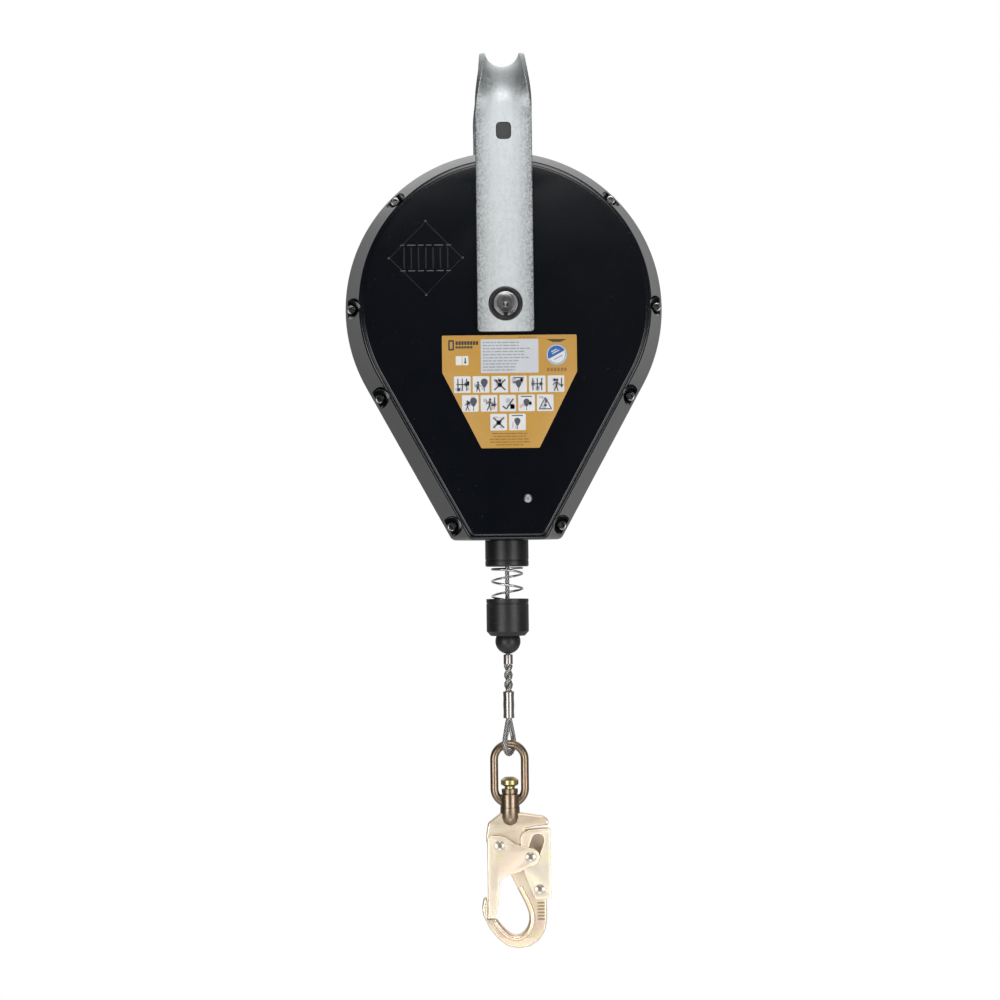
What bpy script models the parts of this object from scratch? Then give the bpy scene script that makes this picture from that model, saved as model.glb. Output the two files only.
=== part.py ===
"""Self retracting lifeline: a fall arrest block with a wire rope, a swivel and a double action snap hook.

Lengths in this file are millimetres and are scaled to metres as each mesh is made. The origin is the
point under the bracket's saddle that hangs on the anchor. +Z is up, +X is right and the front faces -Y.
"""

import math

import bmesh
import bpy
from mathutils import Matrix, Vector

MM = 0.001
GAP = 0.3  # clearance between pieces that touch

# Casing
AXLE_Z = -210.6
RIM_R = 142.8
SIDE_ANGLE = math.radians(28.7)
CASING_BOTTOM = -418.0
SHELL_DEPTH = 50.0
DRAFT = 13.2
DRAFT_DEPTH = 46.0
WALL = 4.3
SEAM = 0.8
ARC_STEPS = 24
NECK_HALF = 20.0
NECK_TOP = -46.0
SCREW_INSET = 6.0
POCKET_R = 9.0
FLANGE = 9.0
SCREW_HEAD_R = 4.25
SCREW_R = 2.5
SCREW_TOP_Y = -14.3
SCREW_SEAT_Y = -9.3
SCREW_TIP_Y = 12.2
RIM_SCREW_ANGLES = (45.0, 0.0, 180.0, 135.0)
SIDE_SCREW_DROPS = (80.0, 195.0)

# Bracket
BAR_WIDTH = 50.0
BAR_THICK = 5.0
LEG_Y = 53.5
LEG_END = -235.0
SHOULDER_R = 36.0
DISH_R = 18.0
DISH_END = -50.0
LEG_HOLE_Z = -58.0
LEG_HOLE_ROUND = 4.6

# Guide screw through the front panel
GUIDE_SCREW_X = 17.7
GUIDE_SCREW_Z = -382.0
GUIDE_THREAD_R = 2.3

# Axle and drum
AXLE_R = 8.0
AXLE_HALF = 60.0
BUSH_R = 12.0
DRUM_FLANGE_R = 110.0
DRUM_FLANGE_Y = 18.0
DRUM_CORE_R = 72.0
PACK_R = 90.0
DRUM_WEB = 3.0
HUB_R = 18.0
HUB_BORE = 14.0
HUB_HALF = 17.4
BEARING_R = 13.7

# Brake
TOOTH_COUNT = 12
TOOTH_PHASE = 14.0
TOOTH_R = 50.0
ROOT_R = 42.0
PAWL_PIVOT_R = 66.0
PAWL_ANGLES = (20.0, 200.0)
PAWL_HOLE_R = 4.3
PAWL_Y = (-30.3, -24.4)
PLATE_R = 40.0
LINING_R = (20.0, 38.0)
PRESSURE_PLATE_Y = (-35.7, -32.7)
FRONT_LINING_Y = (-32.4, -30.4)
RATCHET_Y = (-30.1, -24.1)
REAR_LINING_Y = (-23.8, -21.8)
BACKING_PLATE_Y = (-21.5, -18.6)
BRAKE_NUT_Y = (-45.6, -39.4)
BRAKE_NUT_R = 14.0

# Rope
ROPE_R = 2.0
LEAVING_R = PACK_R + ROPE_R + 0.4
GUIDE_BEND_R = 30.0
THROAT_Z = -409.4
NOZZLE_R = 19.5
NOZZLE_NECK_R = 15.0
NOZZLE_BORE = 4.5
NOZZLE_TOP = -418.3
NOZZLE_END = -442.0

# Buffer and stop
CUP_R = 19.0
CUP_TOP = -471.0
CUP_END = -504.0
CUP_FLOOR = -498.4
BALL_R = 11.35
BALL_Z = -509.0
SPRING_R = 13.5
SPRING_WIRE = 1.0
SPRING_TURNS = 5.25

# Rope eye and link
SLEEVE_TOP = -520.9
SLEEVE_END = -529.7
STRAND = 2.15
FERRULE_TOP = -554.0
FERRULE_END = -578.0
EYE_R = 10.5
EYE_Z = -600.0
EYE_TURN = 64.0  # the eye's plane, in degrees round Z from X
LINK_WIRE = 3.6
LINK_HALF = 13.75
LINK_TOP = -601.2
LINK_END = -654.6
BOSS_R = 8.5
BOSS_TOP = -641.3
BOSS_END = -657.7

# Hook
BODY_HALF = 5.0
GATE_PIVOT = (-9.9, -691.4)
GATE_LOBE = (17.7, -701.7)
LEVER_PIVOT = (25.7, -731.0)
LEVER_IN = 5.4
LEVER_OUT = 6.9
GATE_IN = 7.3
GATE_OUT = 8.9
RIVET_HEAD_R = 4.3
LEVER_SPRING_X = (22.4, 32.2)
LEVER_SPRING_Z = -716.0

# Label
LABEL_X = 3.0
LABEL_HALF = 59.4
LABEL_TOP = -238.0
LABEL_SHOULDER = -270.7
LABEL_END = -337.6
LABEL_FOOT_HALF = 25.6

COLOURS = {
    "black_plastic": ((0.018, 0.02, 0.022, 1), 0.35, 0.0),
    "seal_rubber": ((0.03, 0.03, 0.03, 1), 0.8, 0.0),
    "screw_zinc": ((0.62, 0.63, 0.64, 1), 0.35, 1.0),
    "galvanised": ((0.66, 0.68, 0.69, 1), 0.42, 1.0),
    "axle_steel": ((0.42, 0.43, 0.45, 1), 0.38, 1.0),
    "dark_steel": ((0.12, 0.12, 0.13, 1), 0.45, 1.0),
    "label_vinyl": ((0.58, 0.29, 0.06, 1), 0.5, 0.0),
    "lining": ((0.2, 0.16, 0.12, 1), 0.9, 0.0),
    "spring_steel": ((0.3, 0.31, 0.33, 1), 0.3, 1.0),
    "drum_aluminium": ((0.72, 0.73, 0.75, 1), 0.4, 1.0),
    "rope_steel": ((0.45, 0.45, 0.43, 1), 0.45, 1.0),
    "buffer_rubber": ((0.02, 0.02, 0.022, 1), 0.5, 0.0),
    "ferrule_tin": ((0.6, 0.58, 0.56, 1), 0.35, 1.0),
    "yellow_zinc": ((0.75, 0.6, 0.42, 1), 0.35, 1.0),
    "link_zinc": ((0.45, 0.34, 0.24, 1), 0.35, 1.0),
}


def clear_scene():
    for item in list(bpy.data.objects):
        bpy.data.objects.remove(item, do_unlink=True)
    for group in list(bpy.data.collections):
        bpy.data.collections.remove(group)


def new_collection(name):
    group = bpy.data.collections.new(name)
    bpy.context.scene.collection.children.link(group)
    return group


def finish(name, slot):
    """A Principled material for one sub-part."""
    colour, roughness, metallic = COLOURS[slot]
    material = bpy.data.materials.new(name)
    material.use_nodes = True
    shader = material.node_tree.nodes["Principled BSDF"]
    shader.inputs["Base Color"].default_value = colour
    shader.inputs["Roughness"].default_value = roughness
    shader.inputs["Metallic"].default_value = metallic
    return material


def place(name, mesh, slot):
    """Put a mesh in the scene as a sub-part, or as a cutter where it has no slot."""
    piece = bpy.data.objects.new(name, mesh)
    if slot:
        mesh.materials.clear()
        mesh.materials.append(finish(name, slot))
        bpy.data.collections["self_retracting_lifeline"].objects.link(piece)
    else:
        bpy.data.collections["cutters"].objects.link(piece)
        piece.hide_render = True
        piece.display_type = "WIRE"
    return piece


def smooth(piece, degrees=35):
    piece.data.shade_smooth()
    piece.data.set_sharp_from_angle(angle=math.radians(degrees))


def cut(piece, tool, operation="DIFFERENCE"):
    step = piece.modifiers.new(tool.name, "BOOLEAN")
    step.operation = operation
    step.object = tool


def signed_area(points):
    total = 0.0
    for (x0, y0), (x1, y1) in zip(points, points[1:] + points[:1]):
        total += x0 * y1 - x1 * y0
    return total / 2


def turned(name, profile, slot, along="Y", centre=(0, 0, AXLE_Z), steps=32):
    """A lathe part. Its profile is (radius, position) pairs, with positions measured on world Y or Z."""
    closed = min(r for r, _ in profile) > 0
    points = profile if signed_area(profile) < 0 else profile[::-1]
    mesh = bpy.data.meshes.new(name)
    edges = [(i, i + 1) for i in range(len(points) - 1)]
    if closed:
        edges.append((len(points) - 1, 0))
    mesh.from_pydata([(r * MM, 0, t * MM) for r, t in points], edges, [])
    piece = place(name, mesh, slot)
    piece.location = Vector(centre) * MM
    if along == "Y":
        piece.rotation_euler = (-math.pi / 2, 0, 0)
    screw = piece.modifiers.new("lathe", "SCREW")
    screw.steps = steps
    screw.render_steps = steps
    screw.use_merge_vertices = True
    screw.merge_threshold = 0.00001
    screw.use_smooth_shade = False
    return piece


def as_mesh(curve_object, slot):
    """Replace a curve object by its mesh, with the caps welded on."""
    name = curve_object.name
    view = bpy.context.evaluated_depsgraph_get()
    mesh = bpy.data.meshes.new_from_object(curve_object.evaluated_get(view))
    work = bmesh.new()
    work.from_mesh(mesh)
    bmesh.ops.remove_doubles(work, verts=work.verts, dist=0.000005)
    bmesh.ops.recalc_face_normals(work, faces=work.faces)
    work.to_mesh(mesh)
    work.free()
    matrix = curve_object.matrix_world.copy()
    data = curve_object.data
    bpy.data.objects.remove(curve_object, do_unlink=True)
    bpy.data.curves.remove(data)
    piece = place(name, mesh, slot)
    piece.matrix_world = matrix
    return piece


def flat(name, outline, y_low, y_high, slot, holes=()):
    """A plate cut to an outline of (x, z) pairs, between two Y positions."""
    curve = bpy.data.curves.new(name, "CURVE")
    curve.dimensions = "2D"
    curve.fill_mode = "BOTH"
    curve.extrude = (y_high - y_low) / 2 * MM
    for loop in (outline, *holes):
        spline = curve.splines.new("POLY")
        spline.points.add(len(loop) - 1)
        for point, (x, z) in zip(spline.points, loop):
            point.co = (x * MM, z * MM, 0, 1)
        spline.use_cyclic_u = True
    sheet = bpy.data.objects.new(name, curve)
    bpy.context.scene.collection.objects.link(sheet)
    sheet.rotation_euler = (math.pi / 2, 0, 0)
    sheet.location = (0, (y_low + y_high) / 2 * MM, 0)
    bpy.context.view_layer.update()
    return as_mesh(sheet, slot)


def wire(name, points, radius, slot, closed=False, sides=2):
    """A round wire or rope along points."""
    curve = bpy.data.curves.new(name, "CURVE")
    curve.dimensions = "3D"
    curve.bevel_depth = radius * MM
    curve.bevel_resolution = sides
    curve.use_fill_caps = not closed
    spline = curve.splines.new("POLY")
    spline.points.add(len(points) - 1)
    for point, (x, y, z) in zip(spline.points, points):
        point.co = (x * MM, y * MM, z * MM, 1)
    spline.use_cyclic_u = closed
    line = bpy.data.objects.new(name, curve)
    bpy.context.scene.collection.objects.link(line)
    bpy.context.view_layer.update()
    piece = as_mesh(line, slot)
    smooth(piece)
    return piece


def rods(name, items, slot=None, segments=24):
    """Straight cylinders as one mesh, each from a start to an end with a radius."""
    work = bmesh.new()
    for start, end, radius in items:
        start = Vector(start) * MM
        end = Vector(end) * MM
        turn = Vector((0, 0, 1)).rotation_difference(end - start).to_matrix().to_4x4()
        matrix = Matrix.Translation((start + end) / 2) @ turn
        bmesh.ops.create_cone(
            work,
            cap_ends=True,
            segments=segments,
            radius1=radius * MM,
            radius2=radius * MM,
            depth=(end - start).length,
            matrix=matrix,
        )
    mesh = bpy.data.meshes.new(name)
    work.to_mesh(mesh)
    work.free()
    return place(name, mesh, slot)


def block(name, low, high, slot=None, edge=0.0):
    """A box between two corners, with its edges rounded by a bevel."""
    low = Vector(low) * MM
    high = Vector(high) * MM
    work = bmesh.new()
    bmesh.ops.create_cube(work, size=1)
    bmesh.ops.scale(work, vec=high - low, verts=work.verts)
    mesh = bpy.data.meshes.new(name)
    work.to_mesh(mesh)
    work.free()
    piece = place(name, mesh, slot)
    piece.location = (low + high) / 2
    if edge:
        bevel = piece.modifiers.new("rounded", "BEVEL")
        bevel.width = edge * MM
        bevel.segments = 2
    return piece


def loft(name, rings, slot=None):
    """A closed solid through rings of points, with flat ends."""
    work = bmesh.new()
    made = [[work.verts.new(Vector(p) * MM) for p in ring] for ring in rings]
    for lower, upper in zip(made, made[1:]):
        count = len(lower)
        for i in range(count):
            j = (i + 1) % count
            work.faces.new((lower[i], lower[j], upper[j], upper[i]))
    work.faces.new(made[0])
    work.faces.new(made[-1])
    bmesh.ops.recalc_face_normals(work, faces=work.faces)
    mesh = bpy.data.meshes.new(name)
    work.to_mesh(mesh)
    work.free()
    return place(name, mesh, slot)


def arc(centre, radius, start, end, steps):
    """Points on an arc in the plane, with its angles in degrees."""
    found = []
    for i in range(steps + 1):
        a = math.radians(start + (end - start) * i / steps)
        found.append((centre[0] + radius * math.cos(a), centre[1] + radius * math.sin(a)))
    return found


# Casing


def side_x(drop, inset=0.0):
    """Half width of the straight side at a drop below the axle."""
    return (RIM_R - inset) / math.cos(SIDE_ANGLE) - drop * math.tan(SIDE_ANGLE)


def casing_ring(y, inset, bottom):
    """The casing's outline at one depth, moved in by inset on the round and sides and up by bottom."""
    lean = math.degrees(SIDE_ANGLE)
    points = arc((0, AXLE_Z), RIM_R - inset, -lean, 180 + lean, ARC_STEPS)
    floor = CASING_BOTTOM + bottom
    drop = AXLE_Z - floor
    corner = side_x(drop, inset)
    soft = 4.0
    up = (corner + soft * math.sin(SIDE_ANGLE), floor + soft * math.cos(SIDE_ANGLE))
    flat_end = (corner - soft, floor)
    middle = ((up[0] + 2 * corner + flat_end[0]) / 4, (up[1] + 2 * floor + flat_end[1]) / 4)
    right = [flat_end, middle, up]
    left = [(-x, z) for x, z in right[::-1]]
    return [(x, y, z) for x, z in right + points + left]


def rim_screw_places():
    reach = RIM_R - SCREW_INSET
    places = []
    for degrees in RIM_SCREW_ANGLES:
        a = math.radians(degrees)
        places.append((reach * math.cos(a), AXLE_Z + reach * math.sin(a)))
    for drop in SIDE_SCREW_DROPS:
        x = side_x(drop, SCREW_INSET)
        places += [(x, AXLE_Z - drop), (-x, AXLE_Z - drop)]
    return places


def shell(name, side):
    """One half of the casing. side is -1 for the front and 1 for the rear."""
    outer = [
        (SEAM, DRAFT * SEAM / DRAFT_DEPTH),
        (DRAFT_DEPTH, DRAFT),
        (48.2, DRAFT + 1.0),
        (48.9, DRAFT + 2.4),
        (48.9, DRAFT + 4.0),
        (SHELL_DEPTH, DRAFT + 5.4),
    ]
    rings = [casing_ring(side * y, inset, max(0.0, inset - DRAFT)) for y, inset in outer]
    piece = loft(name, rings, "black_plastic")
    neck = block(
        name + "_neck",
        (-NECK_HALF, min(side * SEAM, side * SHELL_DEPTH), -96),
        (NECK_HALF, max(side * SEAM, side * SHELL_DEPTH), NECK_TOP),
    )
    cut(piece, neck, "UNION")
    peg = block(
        name + "_peg",
        (-6.4, min(side * 49, side * 54), LEG_HOLE_Z - 7.3),
        (6.4, max(side * 49, side * 54), LEG_HOLE_Z + 7.3),
    )
    round_off = peg.modifiers.new("rounded", "BEVEL")
    round_off.width = (LEG_HOLE_ROUND - GAP) * MM
    round_off.segments = 3
    round_off.limit_method = "WEIGHT"
    weights = peg.data.attributes.new("bevel_weight_edge", "FLOAT", "EDGE")
    for edge in peg.data.edges:
        a, b = (peg.data.vertices[i].co for i in edge.vertices)
        weights.data[edge.index].value = 1.0 if abs(a.y - b.y) > 0.001 else 0.0
    cut(piece, peg, "UNION")
    inner = [
        (-1.0, WALL - 0.3, 4.0),
        (42.0, WALL + DRAFT * 42 / DRAFT_DEPTH, 4.0),
        (DRAFT_DEPTH, WALL + DRAFT + 4.5, 7.5),
    ]
    hollow = loft(name + "_hollow", [casing_ring(side * y, inset, b) for y, inset, b in inner])
    bosses = rods(
        name + "_bosses",
        [((x, -side * 2, z), (x, side * 60, z), POCKET_R + 2.2) for x, z in rim_screw_places()],
        segments=12,
    )
    cut(hollow, bosses)
    cut(piece, hollow)
    if side < 0:
        ends = [(GUIDE_SCREW_X, y, GUIDE_SCREW_Z) for y in (-48, -20.4)]
        post = rods(name + "_post", [(*ends, 6)], segments=12)
        cut(piece, post, "UNION")
    holes = [((x, 0, z), (x, side * 12.8, z), SCREW_R + GAP) for x, z in rim_screw_places()]
    if side < 0:
        ends = [(GUIDE_SCREW_X, y, GUIDE_SCREW_Z) for y in (-60, -10)]
        holes.append((*ends, GUIDE_THREAD_R))
        pockets = [
            ((x, side * FLANGE, z), (x, side * 60, z), POCKET_R) for x, z in rim_screw_places()
        ]
        cut(piece, rods(name + "_pockets", pockets, segments=14))
    cut(piece, rods(name + "_holes", holes, segments=10))
    mouths = [
        ((0, side * 40, AXLE_Z), (0, side * 60, AXLE_Z), BUSH_R + GAP),
        ((0, 0, -425), (0, 0, -408), NOZZLE_NECK_R + GAP),
    ]
    cut(piece, rods(name + "_mouths", mouths, segments=28))
    smooth(piece, 25)
    return piece


def gasket():
    """The seal that lies in the seam between the two shells."""
    outer = [(x, z) for x, _, z in casing_ring(0, 0.9, 0.9)]
    inner = [(x, z) for x, _, z in casing_ring(0, 2.9, 2.9)]
    piece = flat("casing_gasket", outer, -SEAM + GAP, SEAM - GAP, "seal_rubber", [inner])
    gap = block("gasket_gap", (-16, -3, -422), (16, 3, -410))
    cut(piece, gap)
    return piece


def casing_screws():
    head = [(0, SCREW_TOP_Y), (SCREW_HEAD_R, SCREW_TOP_Y), (SCREW_HEAD_R, SCREW_SEAT_Y)]
    stem = [(SCREW_R, SCREW_SEAT_Y), (SCREW_R, SCREW_TIP_Y), (0, SCREW_TIP_Y)]
    for i, (x, z) in enumerate(rim_screw_places(), start=1):
        name = f"casing_screw_{i}"
        piece = turned(name, head + stem, "screw_zinc", centre=(x, 0, z), steps=12)
        socket = rods(name + "_socket", [((x, -15, z), (x, -11.6, z), 2.2)], segments=6)
        cut(piece, socket)


def label():
    outline = [
        (LABEL_X - LABEL_HALF, LABEL_TOP),
        (LABEL_X + LABEL_HALF, LABEL_TOP),
        (LABEL_X + LABEL_HALF, LABEL_SHOULDER),
        (LABEL_X + LABEL_FOOT_HALF, LABEL_END),
        (LABEL_X - LABEL_FOOT_HALF, LABEL_END),
        (LABEL_X - LABEL_HALF, LABEL_SHOULDER),
    ]
    return flat("rating_label", outline, -50.8, -50.3, "label_vinyl")


# Bracket


def bracket_path():
    """Middle of the bar from the front leg's foot over the top to the rear leg's foot, with its normals."""
    top = BAR_THICK / 2
    turn_z = top - SHOULDER_R
    turn_y = LEG_Y - SHOULDER_R
    corner = 3.0
    heights = [LEG_END + corner * (1 - math.cos(math.radians(a))) for a in (0, 45, 90)]
    heights += [-180.0, -120.0, -80.0, DISH_END, -44.0, -38.0]
    front = [(-LEG_Y, z, (-1.0, 0.0)) for z in heights]
    for i in range(7):
        a = math.radians(90 * i / 6)
        front.append(
            (
                -turn_y - SHOULDER_R * math.cos(a),
                turn_z + SHOULDER_R * math.sin(a),
                (-math.cos(a), math.sin(a)),
            )
        )
    middle = [(0.0, top, (0.0, 1.0))]
    rear = [(-y, z, (-ny, nz)) for y, z, (ny, nz) in front[::-1]]
    return front + middle + rear


def bracket():
    """A flat bar bent over the casing and dished across its top so that it sits on an anchor."""
    across = 6
    work = bmesh.new()
    rows = []
    for y, z, (ny, nz) in bracket_path():
        rise = min(1.0, max(0.0, (z - DISH_END) / (BAR_THICK / 2 - DISH_END)))
        bend = rise * rise * (3 - 2 * rise) / DISH_R
        half = BAR_WIDTH / 2
        foot = z - LEG_END
        if foot < 3.0:
            half -= 3.0 - math.sqrt(max(0.0, 9.0 - (3.0 - foot) ** 2))
        row = []
        for i in range(across + 1):
            u = half * (2 * i / across - 1)
            x = math.sin(u * bend) / bend if bend > 1e-6 else u
            lift = (1 - math.cos(u * bend)) / bend if bend > 1e-6 else 0.0
            row.append(work.verts.new(Vector((x, y + ny * lift, z + nz * lift)) * MM))
        rows.append(row)
    for lower, upper in zip(rows, rows[1:]):
        for i in range(across):
            work.faces.new((lower[i], lower[i + 1], upper[i + 1], upper[i]))
    mesh = bpy.data.meshes.new("bracket")
    work.to_mesh(mesh)
    work.free()
    piece = place("bracket", mesh, "galvanised")
    plate = piece.modifiers.new("plate", "SOLIDIFY")
    plate.thickness = BAR_THICK * MM
    plate.offset = 0
    cut(piece, rods("bracket_axle_holes", [((0, -70, AXLE_Z), (0, 70, AXLE_Z), 15.15)], segments=28))
    window = flat(
        "bracket_windows",
        rounded_box(0, LEG_HOLE_Z, 6.75, 7.65, LEG_HOLE_ROUND),
        -70,
        70,
        None,
    )
    cut(piece, window)
    smooth(piece, 30)
    return piece


def rounded_box(x, z, half_x, half_z, radius, steps=4):
    points = []
    for cx, cz, start in ((1, 1, 0), (-1, 1, 90), (-1, -1, 180), (1, -1, 270)):
        centre = (x + cx * (half_x - radius), z + cz * (half_z - radius))
        points += arc(centre, radius, start, start + 90, steps)
    return points


# Axle, brake and drum


def axle_group():
    half = AXLE_HALF
    groove = AXLE_R - 0.8
    right = [
        (AXLE_R, 57.3),
        (groove, 57.3),
        (groove, 58.9),
        (AXLE_R, 58.9),
        (AXLE_R, half - 0.6),
        (AXLE_R - 0.6, half),
        (2.6, half),
        (0, half - 2.6),
    ]
    left = [(r, -t) for r, t in right[::-1]]
    axle = turned("main_axle", left + right, "axle_steel", steps=18)
    smooth(axle)
    for name, side in (("front", -1), ("rear", 1)):
        bush = [
            (AXLE_R + GAP, 46.4),
            (BUSH_R, 46.4),
            (BUSH_R, 50.9),
            (14.85, 50.9),
            (14.85, 56.2),
            (14.2, 57.0),
            (AXLE_R + GAP, 57.0),
        ]
        collar = turned("axle_collar_" + name, [(r, side * t) for r, t in bush], "dark_steel", steps=24)
        smooth(collar)
        ring_profile = [
            (groove + 0.2, 57.5),
            (10.4, 57.5),
            (10.4, 58.6),
            (groove + 0.2, 58.6),
        ]
        ring = turned(
            "retaining_ring_" + name, [(r, side * t) for r, t in ring_profile], "spring_steel", steps=18
        )
        mouth = block(
            "ring_mouth_" + name,
            (-2.2, min(side * 56, side * 60), AXLE_Z - 14),
            (2.2, max(side * 56, side * 60), AXLE_Z - 3),
        )
        cut(ring, mouth)


def ratchet_outline():
    points = []
    pitch = 360 / TOOTH_COUNT
    for i in range(TOOTH_COUNT):
        for share, r in ((0.0, ROOT_R), (0.02, TOOTH_R), (0.35, 47.5), (0.7, 44.6)):
            a = math.radians(pitch * (i + share) + TOOTH_PHASE)
            points.append((r * math.cos(a), AXLE_Z + r * math.sin(a)))
    return points


def brake_group():
    bore = AXLE_R + GAP
    near, far = BRAKE_NUT_Y
    nut = rods("brake_nut", [((0, near, AXLE_Z), (0, far, AXLE_Z), BRAKE_NUT_R)], "screw_zinc", segments=6)
    cut(nut, rods("brake_nut_bore", [((0, -50, AXLE_Z), (0, -30, AXLE_Z), bore)], segments=18))
    cone = [(bore, -38.9), (bore, -37.7), (18, -36.1), (18, -37.3)]
    turned("disc_spring", cone, "spring_steel", steps=20)
    turned("pressure_plate", ring_profile(bore, PLATE_R, *PRESSURE_PLATE_Y), "dark_steel", steps=24)
    turned("friction_disc_front", ring_profile(*LINING_R, *FRONT_LINING_Y), "lining", steps=24)
    turned("friction_disc_rear", ring_profile(*LINING_R, *REAR_LINING_Y), "lining", steps=24)
    turned("backing_plate", ring_profile(bore, PLATE_R, *BACKING_PLATE_Y), "dark_steel", steps=24)
    hole = arc((0, AXLE_Z), bore, 0, 360, 18)[:-1]
    flat("ratchet_wheel", ratchet_outline(), *RATCHET_Y, "axle_steel", [hole])


def ring_profile(inner, outer, low, high):
    return [(inner, low), (outer, low), (outer, high), (inner, high)]


def drum_group():
    half = DRUM_FLANGE_Y
    lip = half - 3
    inside = DRUM_CORE_R - 4
    profile = [
        (HUB_BORE, -HUB_HALF),
        (HUB_R, -HUB_HALF),
        (HUB_R, -DRUM_WEB),
        (inside, -DRUM_WEB),
        (inside, -half),
        (DRUM_FLANGE_R, -half),
        (DRUM_FLANGE_R, -lip),
        (DRUM_CORE_R, -lip),
        (DRUM_CORE_R, lip),
        (DRUM_FLANGE_R, lip),
        (DRUM_FLANGE_R, half),
        (inside, half),
        (inside, DRUM_WEB),
        (HUB_R, DRUM_WEB),
        (HUB_R, HUB_HALF),
        (HUB_BORE, HUB_HALF),
    ]
    drum = turned("drum", profile, "drum_aluminium", steps=32)
    pins = [((x, -20, z), (x, -14, z), PAWL_HOLE_R) for x, z in pawl_places()]
    cut(drum, rods("drum_pin_holes", pins, segments=12))
    smooth(drum)
    case = [
        (HUB_BORE, 42),
        (HUB_BORE, 39.6),
        (63, 39.6),
        (63, 21.2),
        (60, 21.2),
        (60, 18.3),
        (82, 18.3),
        (82, 21.2),
        (66, 21.2),
        (66, 42),
    ]
    spring_case = turned("spring_case", case, "drum_aluminium", steps=28)
    smooth(spring_case)
    turned("rope_pack", ring_profile(DRUM_CORE_R + GAP, PACK_R, -14.6, 14.6), "rope_steel", steps=36)
    for name, low in (("front", -16.2), ("rear", 8.2)):
        turned(
            "drum_bearing_" + name,
            ring_profile(AXLE_R + GAP, BEARING_R, low, low + 8),
            "spring_steel",
            steps=18,
        )
    power_spring()


def power_spring():
    """A flat spiral from the axle's slot to the rim of its case."""
    turns = 5
    per_turn = 14
    inner = 11.0
    outer = 61.0
    half = 0.5
    total = turns * per_turn
    line = []
    for i in range(total + 1):
        share = i / total
        a = 2 * math.pi * turns * share
        line.append((inner + (outer - inner) * share, a))
    outside = [((r + half) * math.cos(a), AXLE_Z + (r + half) * math.sin(a)) for r, a in line]
    inside = [((r - half) * math.cos(a), AXLE_Z + (r - half) * math.sin(a)) for r, a in line]
    foot = [(AXLE_R + 0.6, AXLE_Z - half), (AXLE_R + 0.6, AXLE_Z + half)]
    outline = outside + inside[:0:-1] + foot
    flat("power_spring", outline, 21.8, 38.8, "spring_steel")


def pawl_places():
    return [
        (
            PAWL_PIVOT_R * math.cos(math.radians(a)),
            AXLE_Z + PAWL_PIVOT_R * math.sin(math.radians(a)),
        )
        for a in PAWL_ANGLES
    ]


def turned_about(points, centre, degrees):
    a = math.radians(degrees)
    return [
        (
            centre[0] + x * math.cos(a) - z * math.sin(a),
            centre[1] + x * math.sin(a) + z * math.cos(a),
        )
        for x, z in points
    ]


def pawls():
    """Two pawls on pins, each with a torsion spring round its pin's shoulder."""
    shape = [
        (-20.5, 20.0),
        (-16.5, 23.0),
        (-6.0, 14.0),
        (6.5, 7.0),
        (13.0, -3.0),
        (15.5, -15.0),
        (10.0, -24.0),
        (2.0, -25.0),
        (-3.0, -14.0),
        (-8.0, -5.0),
        (-12.0, 6.0),
    ]
    for i, ((x, z), degrees) in enumerate(zip(pawl_places(), PAWL_ANGLES), start=1):
        hole = arc((x, z), PAWL_HOLE_R, 0, 360, 12)[:-1]
        outline = turned_about(shape, (x, z), degrees)
        flat(f"pawl_{i}", outline, *PAWL_Y, "axle_steel", [hole])
        pin = [
            (0, -33.2),
            (6.5, -33.2),
            (6.5, -30.9),
            (4, -30.9),
            (4, -24.1),
            (5.6, -24.1),
            (5.6, -18.3),
            (4, -18.3),
            (4, -15.4),
            (0, -15.4),
        ]
        turned(f"pawl_pin_{i}", pin, "spring_steel", centre=(x, 0, z), steps=12)
        coil = []
        for k in range(21):
            a = math.radians(degrees) + 2 * math.pi * 2 * k / 20
            coil.append((x + 6.8 * math.cos(a), -23.4 + 4.2 * k / 20, z + 6.8 * math.sin(a)))
        a = math.radians(degrees)
        end = coil[-1]
        coil.append((end[0] - 8 * math.sin(a), -19.2, end[2] + 8 * math.cos(a)))
        wire(f"pawl_spring_{i}", coil, 0.5, "spring_steel")


# Rope path


def lean_angle():
    """Angle from the vertical of the rope between the drum and the guide."""
    reach = math.hypot(GUIDE_BEND_R, AXLE_Z - THROAT_Z)
    across = math.asin((GUIDE_BEND_R + LEAVING_R) / reach)
    return across - math.atan2(GUIDE_BEND_R, AXLE_Z - THROAT_Z)


def inside_route():
    """From the drum's tangent over the guide's lip and straight down through the nozzle."""
    lean = lean_angle()
    meets = (-LEAVING_R * math.cos(lean), AXLE_Z - LEAVING_R * math.sin(lean))
    lip = []
    for i in range(7):
        a = lean * (1 - i / 6)
        lip.append((-GUIDE_BEND_R * (1 - math.cos(a)), THROAT_Z + GUIDE_BEND_R * math.sin(a)))
    points = []
    for i in range(10):
        share = i / 10
        points.append(
            (
                meets[0] + (lip[0][0] - meets[0]) * share,
                0.0,
                meets[1] + (lip[0][1] - meets[1]) * share,
            )
        )
    points += [(x, 0.0, z) for x, z in lip]
    points += [(0.0, 0.0, THROAT_Z - step) for step in (10.0, 21.0, -(NOZZLE_END - THROAT_Z) - 0.2)]
    return points


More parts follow.
